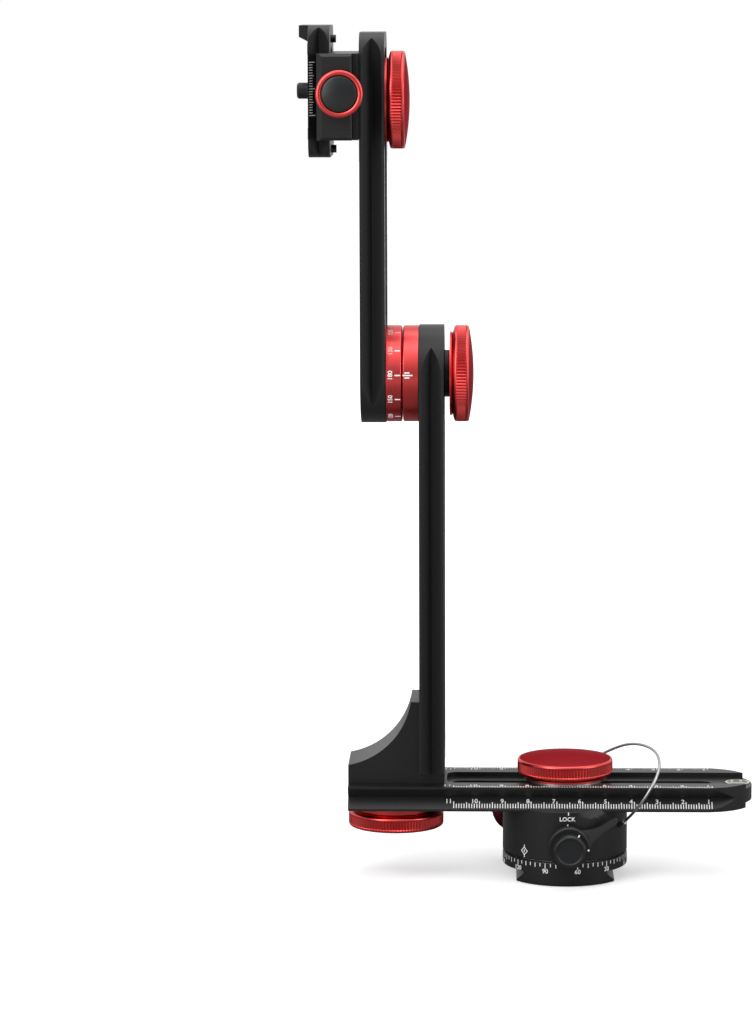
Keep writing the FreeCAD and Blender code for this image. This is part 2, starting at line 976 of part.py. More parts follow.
def click_knob():
    body = small_knob(
        "click_knob", "click_knob_radius", "click_knob_thick", "click_stem_radius + fit_gap"
    )
    return radial(body, "click_boss_reach + 0.3")


def click_knob_cap():
    body = small_cap("click_knob_cap", "click_knob_thick", "click_stem_radius + fit_gap")
    return radial(body, "click_boss_reach + 0.3")


# ---------------------------------------------------------------- clamping knobs


def knob(label):
    """A fluted disc with a round-edged rim and a crowned face. Its underside is at height 0."""
    grip_low = "knob_rise"
    grip_high = "knob_rise + knob_grip"
    shoulder = "knob_rise + knob_grip + knob_edge"
    face = "knob_radius - knob_edge"
    crown = "knob_crown"
    centre = f"{shoulder} + {crown} - (({face})^2 + {crown}^2) / (2 * {crown})"
    body = lathe(
        label,
        [
            ("stud_bore", "0"),
            ("knob_root", "0"),
            (face, grip_low, face, f"{grip_low} + knob_edge", 1),
            ("knob_radius", f"{grip_low} + knob_edge"),
            ("knob_radius", grip_high, face, grip_high, 1),
            (face, shoulder, "0", centre, 1),
            ("0", "knob_thick"),
            ("0", shoulder + " - 1.4"),
            ("stud_bore", shoulder + " - 1.4"),
        ],
    )
    low = f"{grip_low} + knob_edge + 0.1"
    flutes(body, "knob_radius", low, f"{grip_high} - 0.1", "knob_flutes")
    return body


def stud(label, reach, lift):
    """A plain stud from its knob down through the washer, reach below the washer's seat."""
    top = f"{lift} + knob_rise + knob_grip + knob_edge - 1.45"
    return lathe(label, box("0", f"-({reach})", "stud_radius", top))


def washer(label, bore, thick):
    return lathe(
        label,
        [
            (bore, "0"),
            ("washer_radius", "0"),
            ("washer_radius", f"{thick} - 0.3"),
            ("washer_radius - 0.28", f"{thick} - 0.02"),
            (bore, f"{thick} - 0.02"),
        ],
    )


def knob_set(name, reach, x, y, z, turn, lift):
    """A knob, its stud and its washer, seated at a place with their axis along the turn."""
    step = turn.multVec(Vector(0, 0, 1))
    parts = [
        stud(f"{name}_stud", reach, lift),
        washer(f"{name}_washer", "stud_radius + 0.15", lift),
    ]
    for part in parts:
        place(part, x, y, z, turn)
    above = [f"({v}) + ({lift}) * {round(d)}" for v, d in zip((x, y, z), step)]
    parts.append(place(knob(f"{name}_knob"), *above, turn))
    return parts


# ---------------------------------------------------------------- rails and arms


def rounded_box(x0, x1, half, corner):
    """A rectangle along X with four round corners."""
    return [
        (f"{x0} + {corner}", f"-({half})"),
        (f"{x1} - {corner}", f"-({half})", f"{x1} - {corner}", f"-({half}) + {corner}", 1),
        (x1, f"-({half}) + {corner}"),
        (x1, f"{half} - {corner}", f"{x1} - {corner}", f"{half} - {corner}", 1),
        (f"{x1} - {corner}", half),
        (f"{x0} + {corner}", half, f"{x0} + {corner}", f"{half} - {corner}", 1),
        (x0, f"{half} - {corner}"),
        (x0, f"-({half}) + {corner}", f"{x0} + {corner}", f"-({half}) + {corner}", 1),
    ]


def long_slot(x0, x1, half):
    """A slot along X with round ends, from end to end."""
    return [
        (f"{x0} + {half}", f"-({half})"),
        (f"{x1} - {half}", f"-({half})", f"{x1} - {half}", "0", 1),
        (f"{x1} - {half}", half),
        (f"{x0} + {half}", half, f"{x0} + {half}", "0", 1),
    ]


def rail_end(x, way, half, corner):
    """One end of a rail seen from above: a full round, or straight with round corners."""
    if corner == half:
        centre = f"{x} - {way} * ({half})"
        return [
            (centre, f"-{way} * ({half})", centre, "0", 1),
            (centre, f"{way} * ({half})"),
        ]
    inner = f"{x} - {way} * ({corner})"
    side = f"{way} * (({half}) - ({corner}))"
    return [
        (inner, f"-{way} * ({half})", inner, f"-({side})", 1),
        (x, f"-({side})"),
        (x, side, inner, side, 1),
        (inner, f"{way} * ({half})"),
    ]


def edge_grooves(body, long, half, thick, deep):
    """A V groove along both edges, so that a clamp can grip the rail anywhere."""
    for side in ("", "-"):
        groove = [
            (f"{side}({half} - {deep})", f"({thick}) / 2"),
            (f"{side}({half} + 1)", f"({thick}) / 2 + {deep} + 1"),
            (f"{side}({half} + 1)", f"({thick}) / 2 - {deep} - 1"),
        ]
        pocket(body, "YZ", [groove], "-1", f"{long} + 1")


def rail(label, long, start_corner, end_corner, channel, slot):
    """The common section: grooved edges, a wide shallow channel in both faces and a slot through."""
    body = new_body(label)
    half = "rail_wide / 2"
    plan = rail_end(long, "1", half, end_corner) + rail_end("0", "-1", half, start_corner)
    pad(body, "XY", [plan], "0", "rail_thick")
    edge_grooves(body, long, "rail_wide / 2", "rail_thick", "groove_deep")
    for low, high in (
        ("-1", "channel_deep"),
        ("rail_thick - channel_deep", "rail_thick + 1"),
    ):
        pocket(body, "XY", [channel], low, high)
    pocket(body, "XY", [slot], "0", "rail_thick")
    return body


def base_rail():
    half = "channel_wide / 2"
    start = "rail_left - rail_channel_left"
    channel = [
        (f"{start} + channel_corner", f"-{half}"),
        ("rail_long + 1", f"-{half}"),
        ("rail_long + 1", half),
        (
            f"{start} + channel_corner",
            half,
            f"{start} + channel_corner",
            f"{half} - channel_corner",
            1,
        ),
        (start, f"{half} - channel_corner"),
        (
            start,
            f"-{half} + channel_corner",
            f"{start} + channel_corner",
            f"-{half} + channel_corner",
            1,
        ),
    ]
    slot = long_slot(
        "(rail_left - rail_slot_left)", "(rail_left + rail_slot_right)", "slot_wide / 2"
    )
    body = rail("base_rail", "rail_long", "0.8", "rail_wide / 2", channel, slot)
    level = ("rail_long - level_from_end", "0", "level_radius + fit_gap")
    pocket(
        body,
        "XY",
        [level],
        "rail_thick - channel_deep - level_deep",
        "rail_thick",
    )
    pocket(
        body,
        "XY",
        [("rail_left - bracket_stud_at", "0", "stud_radius + 0.2")],
        "0",
        "rail_thick",
    )
    for x in bracket_peg_spots():
        pocket(
            body,
            "XY",
            [(f"rail_left - ({x})", "0", "bracket_peg_radius + fit_gap")],
            "rail_thick - 3",
            "rail_thick",
        )
    return place(body, x="-rail_left", z="rail_foot")


def bubble_level():
    """The level's cup, with a floor and a turned rim."""
    inner = "level_radius - level_rim"
    top = "level_deep + level_proud"
    body = lathe(
        "level_cup",
        [
            ("0", "0"),
            ("level_radius", "0"),
            ("level_radius", top),
            (inner, top),
            (inner, "1"),
            ("0", "1"),
        ],
    )
    seat = {
        "x": "rail_right - level_from_end",
        "z": "rail_top - channel_deep - level_deep",
    }
    vial = lathe(
        "level_vial",
        [
            ("0", "1"),
            (f"{inner} - fit_gap", "1"),
            (
                f"{inner} - fit_gap",
                f"{top} - 0.5",
                "0",
                f"{top} - 0.1 - (({inner} - fit_gap)^2 + 0.16) / 0.8",
                1,
            ),
            ("0", f"{top} - 0.1"),
        ],
    )
    return [place(body, **seat), place(vial, **seat)]


# ---------------------------------------------------------------- corner bracket and lower arm


def bracket_peg_spots():
    return ("rail_left - 7", "arm_right + rail_thick / 2")


def corner_bracket():
    body = new_body("corner_bracket")
    top = "bracket_high"
    inner = "arm_left + bracket_top"
    # the sweep is an arc of a set radius through the heel and the top corner
    run = f"(rail_left - ({inner}))"
    rise = "(bracket_high - bracket_heel)"
    chord = f"sqrt({run}^2 + {rise}^2)"
    sag = f"sqrt(bracket_sweep^2 - ({chord} / 2)^2)"
    centre_x = f"-(rail_left + {inner}) / 2 - {rise} / {chord} * {sag}"
    centre_z = f"(bracket_heel + bracket_high) / 2 + {run} / {chord} * {sag}"
    side = [
        ("-rail_left", "0"),
        ("-arm_right", "0"),
        ("-arm_right", "bracket_foot"),
        ("-arm_left", "bracket_foot"),
        ("-arm_left", top),
        (f"-({inner})", top, centre_x, centre_z, -1),
        ("-rail_left", "bracket_heel"),
    ]
    pad(body, "XZ", [side], "-bracket_half", "bracket_half")
    pocket(body, "XY", [("-bracket_stud_at", "0", "stud_thread")], "0", "12")
    # two pegs that keep the bracket square on the rail
    pegs = [(f"-({x})", "0", "bracket_peg_radius") for x in bracket_peg_spots()]
    pad(body, "XY", pegs, "-2.9", "0")
    for y in arm_screw_spots():
        spot = "-(arm_right + rail_thick / 2)"
        pocket(body, "XY", [(spot, y, "screw_radius + 0.15")], "0", "bracket_foot")
        pocket(body, "XY", [(spot, y, "screw_head_radius + 0.1")], "0", "screw_head + 0.1")
    return place(body, z="rail_top")


def arm_screw_spots():
    return ("arm_screw_across", "-arm_screw_across")


def arm_screws():
    body = screws(
        "arm_screws",
        "XY",
        [("0", y) for y in arm_screw_spots()],
        "screw_head_radius",
        "screw_head",
        "screw_radius",
        "bracket_foot + 6",
        "1.5",
    )
    return place(
        body,
        x="-(arm_right + rail_thick / 2)",
        z="rail_top + screw_head + 0.05",
        turn=DOWN,
    )


def lower_arm():
    long = "lower_arm_long"
    channel = rounded_box("6", f"({long} - arm_channel_start)", "channel_wide / 2", "channel_corner")
    slot = long_slot("19", f"({long} - arm_slot_start)", "slot_wide / 2")
    body = rail("lower_arm", long, "0.8", "rail_wide / 2", channel, slot)
    pocket(
        body,
        "XY",
        [(f"{long} - rail_wide / 2", "0", "tilt_stud_radius + turn_gap")],
        "0",
        "rail_thick",
    )
    for y in arm_screw_spots():
        pocket(body, "YZ", [(y, "rail_thick / 2", "screw_radius + fit_gap")], "0", "9")
    for x, y in around(3, "ring_screw_circle", 0):
        spot = (f"{long} - rail_wide / 2 + {x}", y, "screw_radius + fit_gap")
        pocket(body, "XY", [spot], "rail_thick - 5", "rail_thick")
    return place(body, x="-arm_right", z="arm_foot", turn=STANDING)


def upper_arm():
    long = "upper_arm_long"
    channel = rounded_box(
        "arm_channel_start", f"({long} - arm_channel_end)", "channel_wide / 2", "channel_corner"
    )
    slot = long_slot("arm_slot_start", f"({long} - arm_slot_end)", "slot_wide / 2")
    body = rail("upper_arm", long, "rail_wide / 2", "upper_arm_corner", channel, slot)
    pocket(
        body,
        "XY",
        [("rail_wide / 2", "0", "tilt_stud_radius + fit_gap")],
        "0",
        "rail_thick",
    )
    pocket(
        body,
        "XY",
        [("rail_wide / 2", "0", "tilt_head_radius + 0.1")],
        "rail_thick - 2.6",
        "rail_thick",
    )
    for x, y in around(3, "ring_screw_circle", 180):
        spot = (f"rail_wide / 2 + {x}", y, "screw_radius + fit_gap")
        pocket(body, "XY", [spot], "0", "5")
    return place(body, x="-upper_arm_right", z="upper_arm_foot", turn=STANDING)


# ---------------------------------------------------------------- tilt joint


def tilt_ring(label, first, mirrored):
    """A ring with bevelled edges and three counterbored screws. Height 0 is its arm's face."""
    body = lathe(
        label,
        [
            ("ring_bore", "0"),
            ("ring_radius - 0.2", "0"),
            ("ring_radius", "0.2"),
            ("ring_radius", "ring_wide - ring_edge"),
            ("ring_radius - ring_edge", "ring_wide"),
            ("ring_bore", "ring_wide"),
        ],
    )
    for x, y in around(3, "ring_screw_circle", first):
        x = f"-({x})" if mirrored else x
        pocket(body, "XY", [(x, y, "screw_radius + 0.15")], "0", "ring_wide")
        pocket(
            body,
            "XY",
            [(x, y, "screw_head_radius + 0.1")],
            "ring_wide - screw_head - 0.4",
            "ring_wide",
        )
    return body


def tilt_index_ring():
    body = tilt_ring("tilt_index_ring", 0, False)
    return place(body, x="-arm_left", z="tilt_level", turn=LEFTWARD)


def tilt_degree_ring():
    body = tilt_ring("tilt_degree_ring", 180, True)
    return place(body, x="-upper_arm_right", z="tilt_level", turn=RIGHTWARD)


def ring_screws(label, first, mirrored, x, turn):
    spots = around(3, "ring_screw_circle", first)
    if mirrored:
        spots = [(f"-({a})", b) for a, b in spots]
    body = screws(
        label,
        "XY",
        spots,
        "screw_head_radius",
        "screw_head",
        "screw_radius",
        "ring_wide - screw_head + 4",
        "1.5",
    )
    return place(body, x=x, z="tilt_level", turn=turn)


def tilt_index_screws():
    seat = "-(arm_left + ring_wide - screw_head - 0.35)"
    return ring_screws("tilt_index_screws", 0, False, seat, LEFTWARD)


def tilt_degree_screws():
    seat = "-(degree_ring_right + screw_head + 0.35)"
    return ring_screws("tilt_degree_screws", 180, True, seat, RIGHTWARD)


def tilt_washer():
    body = lathe(
        "tilt_washer",
        box("tilt_stud_radius + 0.2", "0.03", "ring_bore + 1.6", "ring_gap - 0.03"),
    )
    return place(body, x="-index_ring_left", z="tilt_level", turn=LEFTWARD)


def tilt_stud():
    """Headed in the upper arm, it runs through both rings and the lower arm into the knob."""
    head = "2.4"
    run = "upper_arm_left - 2.55 - arm_right + spacer_long + washer_thick"
    body = lathe(
        "tilt_stud",
        [
            ("0", f"-({head})"),
            ("tilt_head_radius - 0.4", f"-({head})"),
            ("tilt_head_radius", f"-({head}) + 0.4"),
            ("tilt_head_radius", "0"),
            ("tilt_stud_radius", "0"),
            ("tilt_stud_radius", f"{run} + knob_rise + 3"),
            ("0", f"{run} + knob_rise + 3"),
        ],
    )
    return place(body, x="-(upper_arm_left - 2.55)", z="tilt_level", turn=RIGHTWARD)


def tilt_spacer():
    body = lathe(
        "tilt_spacer",
        [
            ("tilt_stud_radius + 0.15", "0"),
            ("spacer_radius", "0"),
            ("spacer_radius", "spacer_long - 0.3"),
            ("spacer_radius - 0.3", "spacer_long - 0.02"),
            ("tilt_stud_radius + 0.15", "spacer_long - 0.02"),
        ],
    )
    return place(body, x="-arm_right", z="tilt_level", turn=RIGHTWARD)


def tilt_knob():
    body = knob("tilt_knob")
    pocket(
        body,
        "XY",
        [("0", "0", "tilt_stud_radius + turn_gap")],
        "0",
        "knob_rise + 4.3",
    )
    seat = "-(arm_right - spacer_long - washer_thick)"
    return place(body, x=seat, z="tilt_level", turn=RIGHTWARD)


def tilt_knob_washer():
    body = washer("tilt_knob_washer", "tilt_stud_radius + 0.15", "washer_thick")
    seat = "-(arm_right - spacer_long)"
    return place(body, x=seat, z="tilt_level", turn=RIGHTWARD)


# ---------------------------------------------------------------- camera clamp


def jaw_lip(side, gap):
    """The gripping edge of a jaw, from the clamp's floor out to its tip, as (x, y) corners."""
    root = f"rail_wide / 2 + {gap}"
    neck = f"rail_wide / 2 - groove_deep + {gap}"
    lip = "plate_thick / 2 - groove_deep"
    return [
        (f"-(plate_back + {lip})", f"{side}({root})"),
        ("-plate_groove_at", f"{side}({neck})"),
        ("-jaw_tip_at", f"{side}({neck} + 0.4)"),
    ]


def bevel_ends(body, side):
    """Bevels the top and bottom edges of a jaw's outer face."""
    outside = f"{side}(clamp_half + 1)"
    inside = f"{side}(clamp_half - clamp_edge)"
    for end, out in (("clamp_top", "+"), ("clamp_foot", "-")):
        back = "-" if out == "+" else "+"
        wedge = [
            (inside, f"{end} {out} 0.01"),
            (outside, f"{end} {out} 0.01"),
            (outside, f"{end} {back} (clamp_edge + 1)"),
        ]
        pocket(body, "YZ", [wedge], "-(jaw_tip_at + 1)", "-upper_arm_left")


def clamp_body():
    body = new_body("clamp_body")
    lip = jaw_lip("", "jaw_grip")
    section = (
        [
            ("-upper_arm_left", "-(clamp_half - clamp_base_back)"),
            ("-upper_arm_left", "clamp_half"),
            ("-(jaw_tip_at - clamp_bevel)", "clamp_half"),
            ("-jaw_tip_at", "clamp_half - clamp_bevel"),
        ]
        + lip[::-1]
        + [
            ("-clamp_floor_at", "rail_wide / 2 + jaw_grip"),
            ("-clamp_floor_at", "-clamp_split"),
            ("-(upper_arm_left + clamp_base)", "-clamp_split"),
            ("-(upper_arm_left + clamp_base)", "-(clamp_half - clamp_base_back)"),
        ]
    )
    pad(body, "XY", [section], "clamp_foot", "clamp_top")
    bevel_ends(body, "")
    # the key that runs in the arm's channel
    key_half = "channel_wide / 2 - slide_gap"
    key = box("-upper_arm_left", f"-({key_half})", "-(upper_arm_left - 1.8)", key_half)
    ends = ("clamp_foot + channel_corner + key_inset", "clamp_top - channel_corner - key_inset")
    pad(body, "XY", [key], *ends)
    turn_bore = ("-clamp_screw_at", "clamp_screw_level", "clamp_screw_radius + turn_gap")
    pocket(body, "XZ", [turn_bore], "clamp_split - 15", "clamp_split")
    for sign in ("+", "-"):
        level = f"clamp_screw_level {sign} guide_apart"
        pocket(
            body,
            "XZ",
            [("-clamp_screw_at", level, "guide_radius + fit_gap")],
            "clamp_split - guide_sunk - 0.1",
            "clamp_split",
        )
        pocket(
            body,
            "XZ",
            [("-clamp_screw_at", level, "spring_radius + 0.1")],
            "clamp_split - spring_long",
            "clamp_split",
        )
    pocket(
        body,
        "YZ",
        [("0", "clamp_axis", "stud_thread")],
        "-(upper_arm_left + 8)",
        "-(upper_arm_left - 2)",
    )
    return body


def clamp_jaw():
    body = new_body("clamp_jaw")
    lip = jaw_lip("-", "jaw_grip")
    back = "-(upper_arm_left + clamp_base + 0.1)"
    section = [
        (back, "-(clamp_split + jaw_gap)"),
        ("-(plate_back + 0.15)", "-(clamp_split + jaw_gap)"),
        ("-(plate_back + 0.15)", "-(rail_wide / 2 + jaw_grip)"),
        *lip,
        ("-jaw_tip_at", "-(clamp_half - clamp_bevel)"),
        ("-(jaw_tip_at - clamp_bevel)", "-clamp_half"),
        (f"{back} - clamp_edge / 2", "-clamp_half"),
        (back, "-(clamp_half - clamp_edge / 2)"),
    ]
    pad(body, "XY", [section], "clamp_foot", "clamp_top")
    bevel_ends(body, "-")
    start = "rail_wide / 2 - groove_deep"
    screw_bore = ("-clamp_screw_at", "clamp_screw_level", "clamp_screw_radius + 0.15")
    pocket(body, "XZ", [screw_bore], start, "clamp_half")
    for sign in ("+", "-"):
        level = f"clamp_screw_level {sign} guide_apart"
        guide_bore = ("-clamp_screw_at", level, "guide_radius + turn_gap")
        pocket(body, "XZ", [guide_bore], start, "clamp_split - guide_sunk + guide_long + 0.5")
    return body


def on_clamp_screw(body):
    """Lays a turned piece on the clamp screw's axis, height 0 at the jaw's outer face."""
    return place(
        body, x="-clamp_screw_at", y="-(clamp_half + 0.3)", z="clamp_screw_level", turn=FORWARD
    )


def clamp_screw():
    body = lathe(
        "clamp_screw", box("0", "-clamp_screw_long", "clamp_screw_radius", "3.8")
    )
    return on_clamp_screw(body)


def clamp_knob():
    bore = "clamp_screw_radius + fit_gap"
    return on_clamp_screw(
        small_knob("clamp_knob", "small_knob_radius", "small_knob_thick", bore)
    )


def clamp_knob_cap():
    bore = "clamp_screw_radius + fit_gap"
    return on_clamp_screw(small_cap("clamp_knob_cap", "small_knob_thick", bore))


def guide_pins():
    body = new_body("guide_pins")
    spots = [
        ("-clamp_screw_at", f"clamp_screw_level {sign} guide_apart", "guide_radius")
        for sign in ("+", "-")
    ]
    foot = "clamp_split - guide_sunk"
    pad(body, "XZ", spots, foot, f"{foot} + guide_long")
    return body


def clamp_springs():
    body = new_body("clamp_springs")
    loops = []
    for sign in ("+", "-"):
        level = f"clamp_screw_level {sign} guide_apart"
        loops.append(("-clamp_screw_at", level, "spring_radius"))
        loops.append(("-clamp_screw_at", level, "guide_radius + 0.15"))
    pad(body, "XZ", loops, "clamp_split - spring_long + 0.1", "clamp_split + 0.2")
    return body


# ---------------------------------------------------------------- camera plate


def camera_plate():
    body = new_body("camera_plate")
    half = "rail_wide / 2"
    corner = "plate_corner"
    plan = [
        (f"-{half} + {corner}", "plate_foot"),
        (f"{half} - {corner}", "plate_foot", f"{half} - {corner}", f"plate_foot + {corner}", 1),
        (half, f"plate_foot + {corner}"),
        (half, f"plate_top - {corner}", f"{half} - {corner}", f"plate_top - {corner}", 1),
        (f"{half} - {corner}", "plate_top"),
        (f"-{half} + {corner}", "plate_top", f"-{half} + {corner}", f"plate_top - {corner}", 1),
        (f"-{half}", f"plate_top - {corner}"),
        (f"-{half}", f"plate_foot + {corner}", f"-{half} + {corner}", f"plate_foot + {corner}", 1),
    ]
    pad(body, "YZ", [plan], "-plate_face", "-plate_back")
    for side in ("", "-"):
        groove = [
            ("-plate_groove_at", f"{side}({half} - groove_deep)"),
            ("-(plate_groove_at + groove_deep + 1)", f"{side}({half} + 1)"),
            ("-(plate_groove_at - groove_deep - 1)", f"{side}({half} + 1)"),
        ]
        pocket(body, "XY", [groove], "plate_foot - 1", "plate_top + 1")
    # the lip that stops a camera from twisting
    lip = [
        ("-plate_face", "plate_top"),
        ("-plate_face", "plate_top - plate_lip_high - plate_lip / 2"),
        ("-(plate_face + plate_lip)", "plate_top - plate_lip_high"),
        ("-(plate_face + plate_lip)", "plate_top"),
    ]
    lip_half = f"{half} - {corner}"
    pad(body, "XZ", [lip], f"-({lip_half})", lip_half)
    middle = "(plate_foot + plate_long / 2)"
    upright = [
        ("slot_wide / 2", f"{middle} - plate_slot_long / 2 + slot_wide / 2"),
        (
            "slot_wide / 2",
            f"{middle} + plate_slot_long / 2 - slot_wide / 2",
            "0",
            f"{middle} + plate_slot_long / 2 - slot_wide / 2",
            1,
        ),
        ("-slot_wide / 2", f"{middle} + plate_slot_long / 2 - slot_wide / 2"),
        (
            "-slot_wide / 2",
            f"{middle} - plate_slot_long / 2 + slot_wide / 2",
            "0",
            f"{middle} - plate_slot_long / 2 + slot_wide / 2",
            1,
        ),
    ]
    pocket(body, "YZ", [upright], "-plate_face", "-plate_back")
    wide = "plate_recess_wide / 2"
    reach = "(plate_slot_long / 2 + 4)"
    recess = [
        (wide, f"{middle} - {reach} + {wide}"),
        (wide, f"{middle} + {reach} - {wide}", "0", f"{middle} + {reach} - {wide}", 1),
        (f"-{wide}", f"{middle} + {reach} - {wide}"),
        (f"-{wide}", f"{middle} - {reach} + {wide}", "0", f"{middle} - {reach} + {wide}", 1),
    ]
    pocket(body, "YZ", [recess], "-(plate_back + plate_recess_deep)", "-plate_back")
    for pad_box in pad_boxes("0.05"):
        depth = "-(plate_face - pad_thick + pad_proud)"
        pocket(body, "YZ", [pad_box], "-plate_face", depth)
    for level in stop_levels():
        pocket(
            body,
            "YZ",
            [("0", level, "stop_radius + fit_gap")],
            "-(plate_back + 2.6)",
            "-plate_back",
        )
    return body


def pad_boxes(margin):
    """The two rubber strips, above and below the slot."""
    boxes = []
    for sign in ("+", "-"):
        centre = f"(plate_foot + plate_long / 2 {sign} (plate_slot_long / 2 + 2.9))"
        boxes.append(
            box(
                f"-(pad_wide / 2 + {margin})",
                f"{centre} - pad_high / 2 - {margin}",
                f"pad_wide / 2 + {margin}",
                f"{centre} + pad_high / 2 + {margin}",
            )
        )
    return boxes


def stop_levels():
    return ("plate_top - stop_top_in", "plate_foot + stop_bottom_in")


def plate_pads():
    body = new_body("plate_pads")
    deep = "-(plate_face - pad_thick + pad_proud)"
    pad(body, "YZ", pad_boxes("0"), "-(plate_face + pad_proud)", deep)
    return body


def plate_stops():
    body = new_body("plate_stops")
    spots = [("0", level, "stop_radius") for level in stop_levels()]
    pad(body, "YZ", spots, "-(plate_back + 2.5)", "-(plate_back - stop_proud)")
    return body


def camera_screw():
    """The captive screw that holds the camera, its head sunk in the plate's back."""
    seat = "plate_recess_deep - camera_washer_thick - 0.1"
    body = lathe(
        "camera_screw",
        [
            ("0", f"{seat} - camera_head_thick"),
            ("camera_head_radius - 0.4", f"{seat} - camera_head_thick"),
            ("camera_head_radius", f"{seat} - camera_head_thick + 0.4"),
            ("camera_head_radius", seat),
            ("camera_neck_radius", seat),
            ("camera_neck_radius", "plate_thick + 0.1"),
            ("camera_thread_radius", "plate_thick + 0.1"),
            ("camera_thread_radius", "plate_thick + camera_screw_reach - 0.6"),
            ("camera_thread_radius - 0.6", "plate_thick + camera_screw_reach"),
            ("0", "plate_thick + camera_screw_reach"),
        ],
    )
    slot = box("-camera_head_radius - 1", "-0.8", "camera_head_radius + 1", "0.8")
    pocket(body, "XY", [slot], "0", f"{seat} - camera_head_thick + 1.2")
    return in_plate(body)


def camera_screw_washer():
    """It keeps the screw in the plate and slides with it along the slot."""
    top = "plate_recess_deep - 0.05"
    body = lathe(
        "camera_screw_washer",
        box("camera_neck_radius + 0.1", f"{top} - camera_washer_thick", "camera_head_radius", top),
    )
    return in_plate(body)


def in_plate(body):
    """Lays a turned piece on the camera screw's axis, height 0 at the plate's back."""
    return place(body, x="-plate_back", z="plate_foot + plate_long / 2", turn=LEFTWARD)


# ---------------------------------------------------------------- steel lanyard


def lanyard_tab():
    """A thin ring under the rail knob's washer, with an ear that holds the wire behind the rail."""
    body = lathe(
        "lanyard_tab",
        box("stud_radius + 0.2", "0", "washer_radius", "tab_thick - 0.02"),
    )
    ear = [
        ("-tab_half", "washer_radius - 3"),
        ("tab_half", "washer_radius - 3"),
        ("tab_half", "tab_reach - tab_half", "0", "tab_reach - tab_half", 1),
        ("-tab_half", "tab_reach - tab_half"),
    ]
    pad(body, "XY", [ear], "0", "tab_thick - 0.02")
    # the ear's edge is rolled into a tube that is crimped on the wire
    roll_level = "tab_thick - 0.12 + tab_roll_radius"
    roll = ("tab_roll_at", roll_level, "tab_roll_radius")
    pad(body, "YZ", [roll], "-1", "4.6")
    bore = ("tab_roll_at", roll_level, "wire_radius + fit_gap")
    pocket(body, "YZ", [bore], "3.3", "4.6")
    return place(body, z="tab_level")


# The stiff wire's route, from the tab's rolled edge, up behind the knob, over the rail and down in
# front of it to the ferrule beside the lever's tip.
WIRE_ROUTE = [
    (3.4, 0, 1.58),
    (9.9, 0, 1.58),
    (17.2, -1.0, 6.55),
    (26.8, -9.0, 11.65),
    (35.4, -24.1, 11.95),
    (36.8, -40.5, 8.15),
    (32.4, -47.9, 0.55),
    (26.2, -44.9, -9.15),
    (22.4, -36.5, -14.65),
]


def wire_route():
    """The route's points, measured from the tab's roll and grown with the rotor."""
    growth = value("base_radius") / 24.35
    origin = Vector(0, value("tab_roll_at"), value("rail_top"))
    return [origin + Vector(*point) * growth for point in WIRE_ROUTE]


def wire_path(route):
    """Straight runs joined by arcs as large as the runs allow."""
    edges = []
    start = route[0]
    for before, corner, after in zip(route, route[1:], route[2:]):
        back = (before - corner).normalize()
        ahead = (after - corner).normalize()
        turn = math.pi - back.getAngle(ahead)
        shorter = min((before - corner).Length, (after - corner).Length)
        radius = 0.45 * shorter / math.tan(turn / 2)
        setback = 0.45 * shorter
        enter = corner + back * setback
        leave = corner + ahead * setback
        bisector = (back + ahead).normalize()
        middle = corner + bisector * (radius / math.cos(turn / 2) - radius)
        print(f"lanyard arc radius {radius:.1f} mm")
        edges.append(Part.LineSegment(start, enter).toShape())
        edges.append(Part.Arc(enter, middle, leave).toShape())
        start = leave
    edges.append(Part.LineSegment(start, route[-1]).toShape())
    return Part.Wire(edges)


def lanyard_wire():
    route = wire_route()
    path = wire_path(route)
    heading = (route[1] - route[0]).normalize()
    radius = value("wire_radius")
    ring = Part.Wire([Part.makeCircle(radius, route[0], heading)])
    tube = path.makePipeShell([ring], True, False, 1)
    feature = doc.addObject("Part::Feature", "lanyard_wire")
    feature.Label = "lanyard_wire"
    feature.Shape = tube
    section = math.pi * radius**2 * path.Length
    print(f"lanyard {path.Length:.1f} mm, volume {tube.Volume:.2f} of {section:.2f}")
    return feature


def lanyard_ferrule():
    """The socket in the rotor's wall that holds the wire's lower end."""
    route = wire_route()
    inward = (route[-1] - route[-2]).normalize()
    outer = Part.makeCylinder(value("ferrule_radius"), value("ferrule_long"))
    inner = Part.makeCylinder(value("wire_radius + fit_gap"), 1.6)
    socket = outer.cut(inner)
    start = route[-1] - inward * 1.5
    socket.Placement = Placement(start, Rotation(Vector(0, 0, 1), inward))
    wall = Part.makeCylinder(value("base_radius + 0.01"), value("seat_level"))
    feature = doc.addObject("Part::Feature", "lanyard_ferrule")
    feature.Label = "lanyard_ferrule"
    feature.Shape = socket.cut(wall)
    return feature


# ---------------------------------------------------------------- the whole head


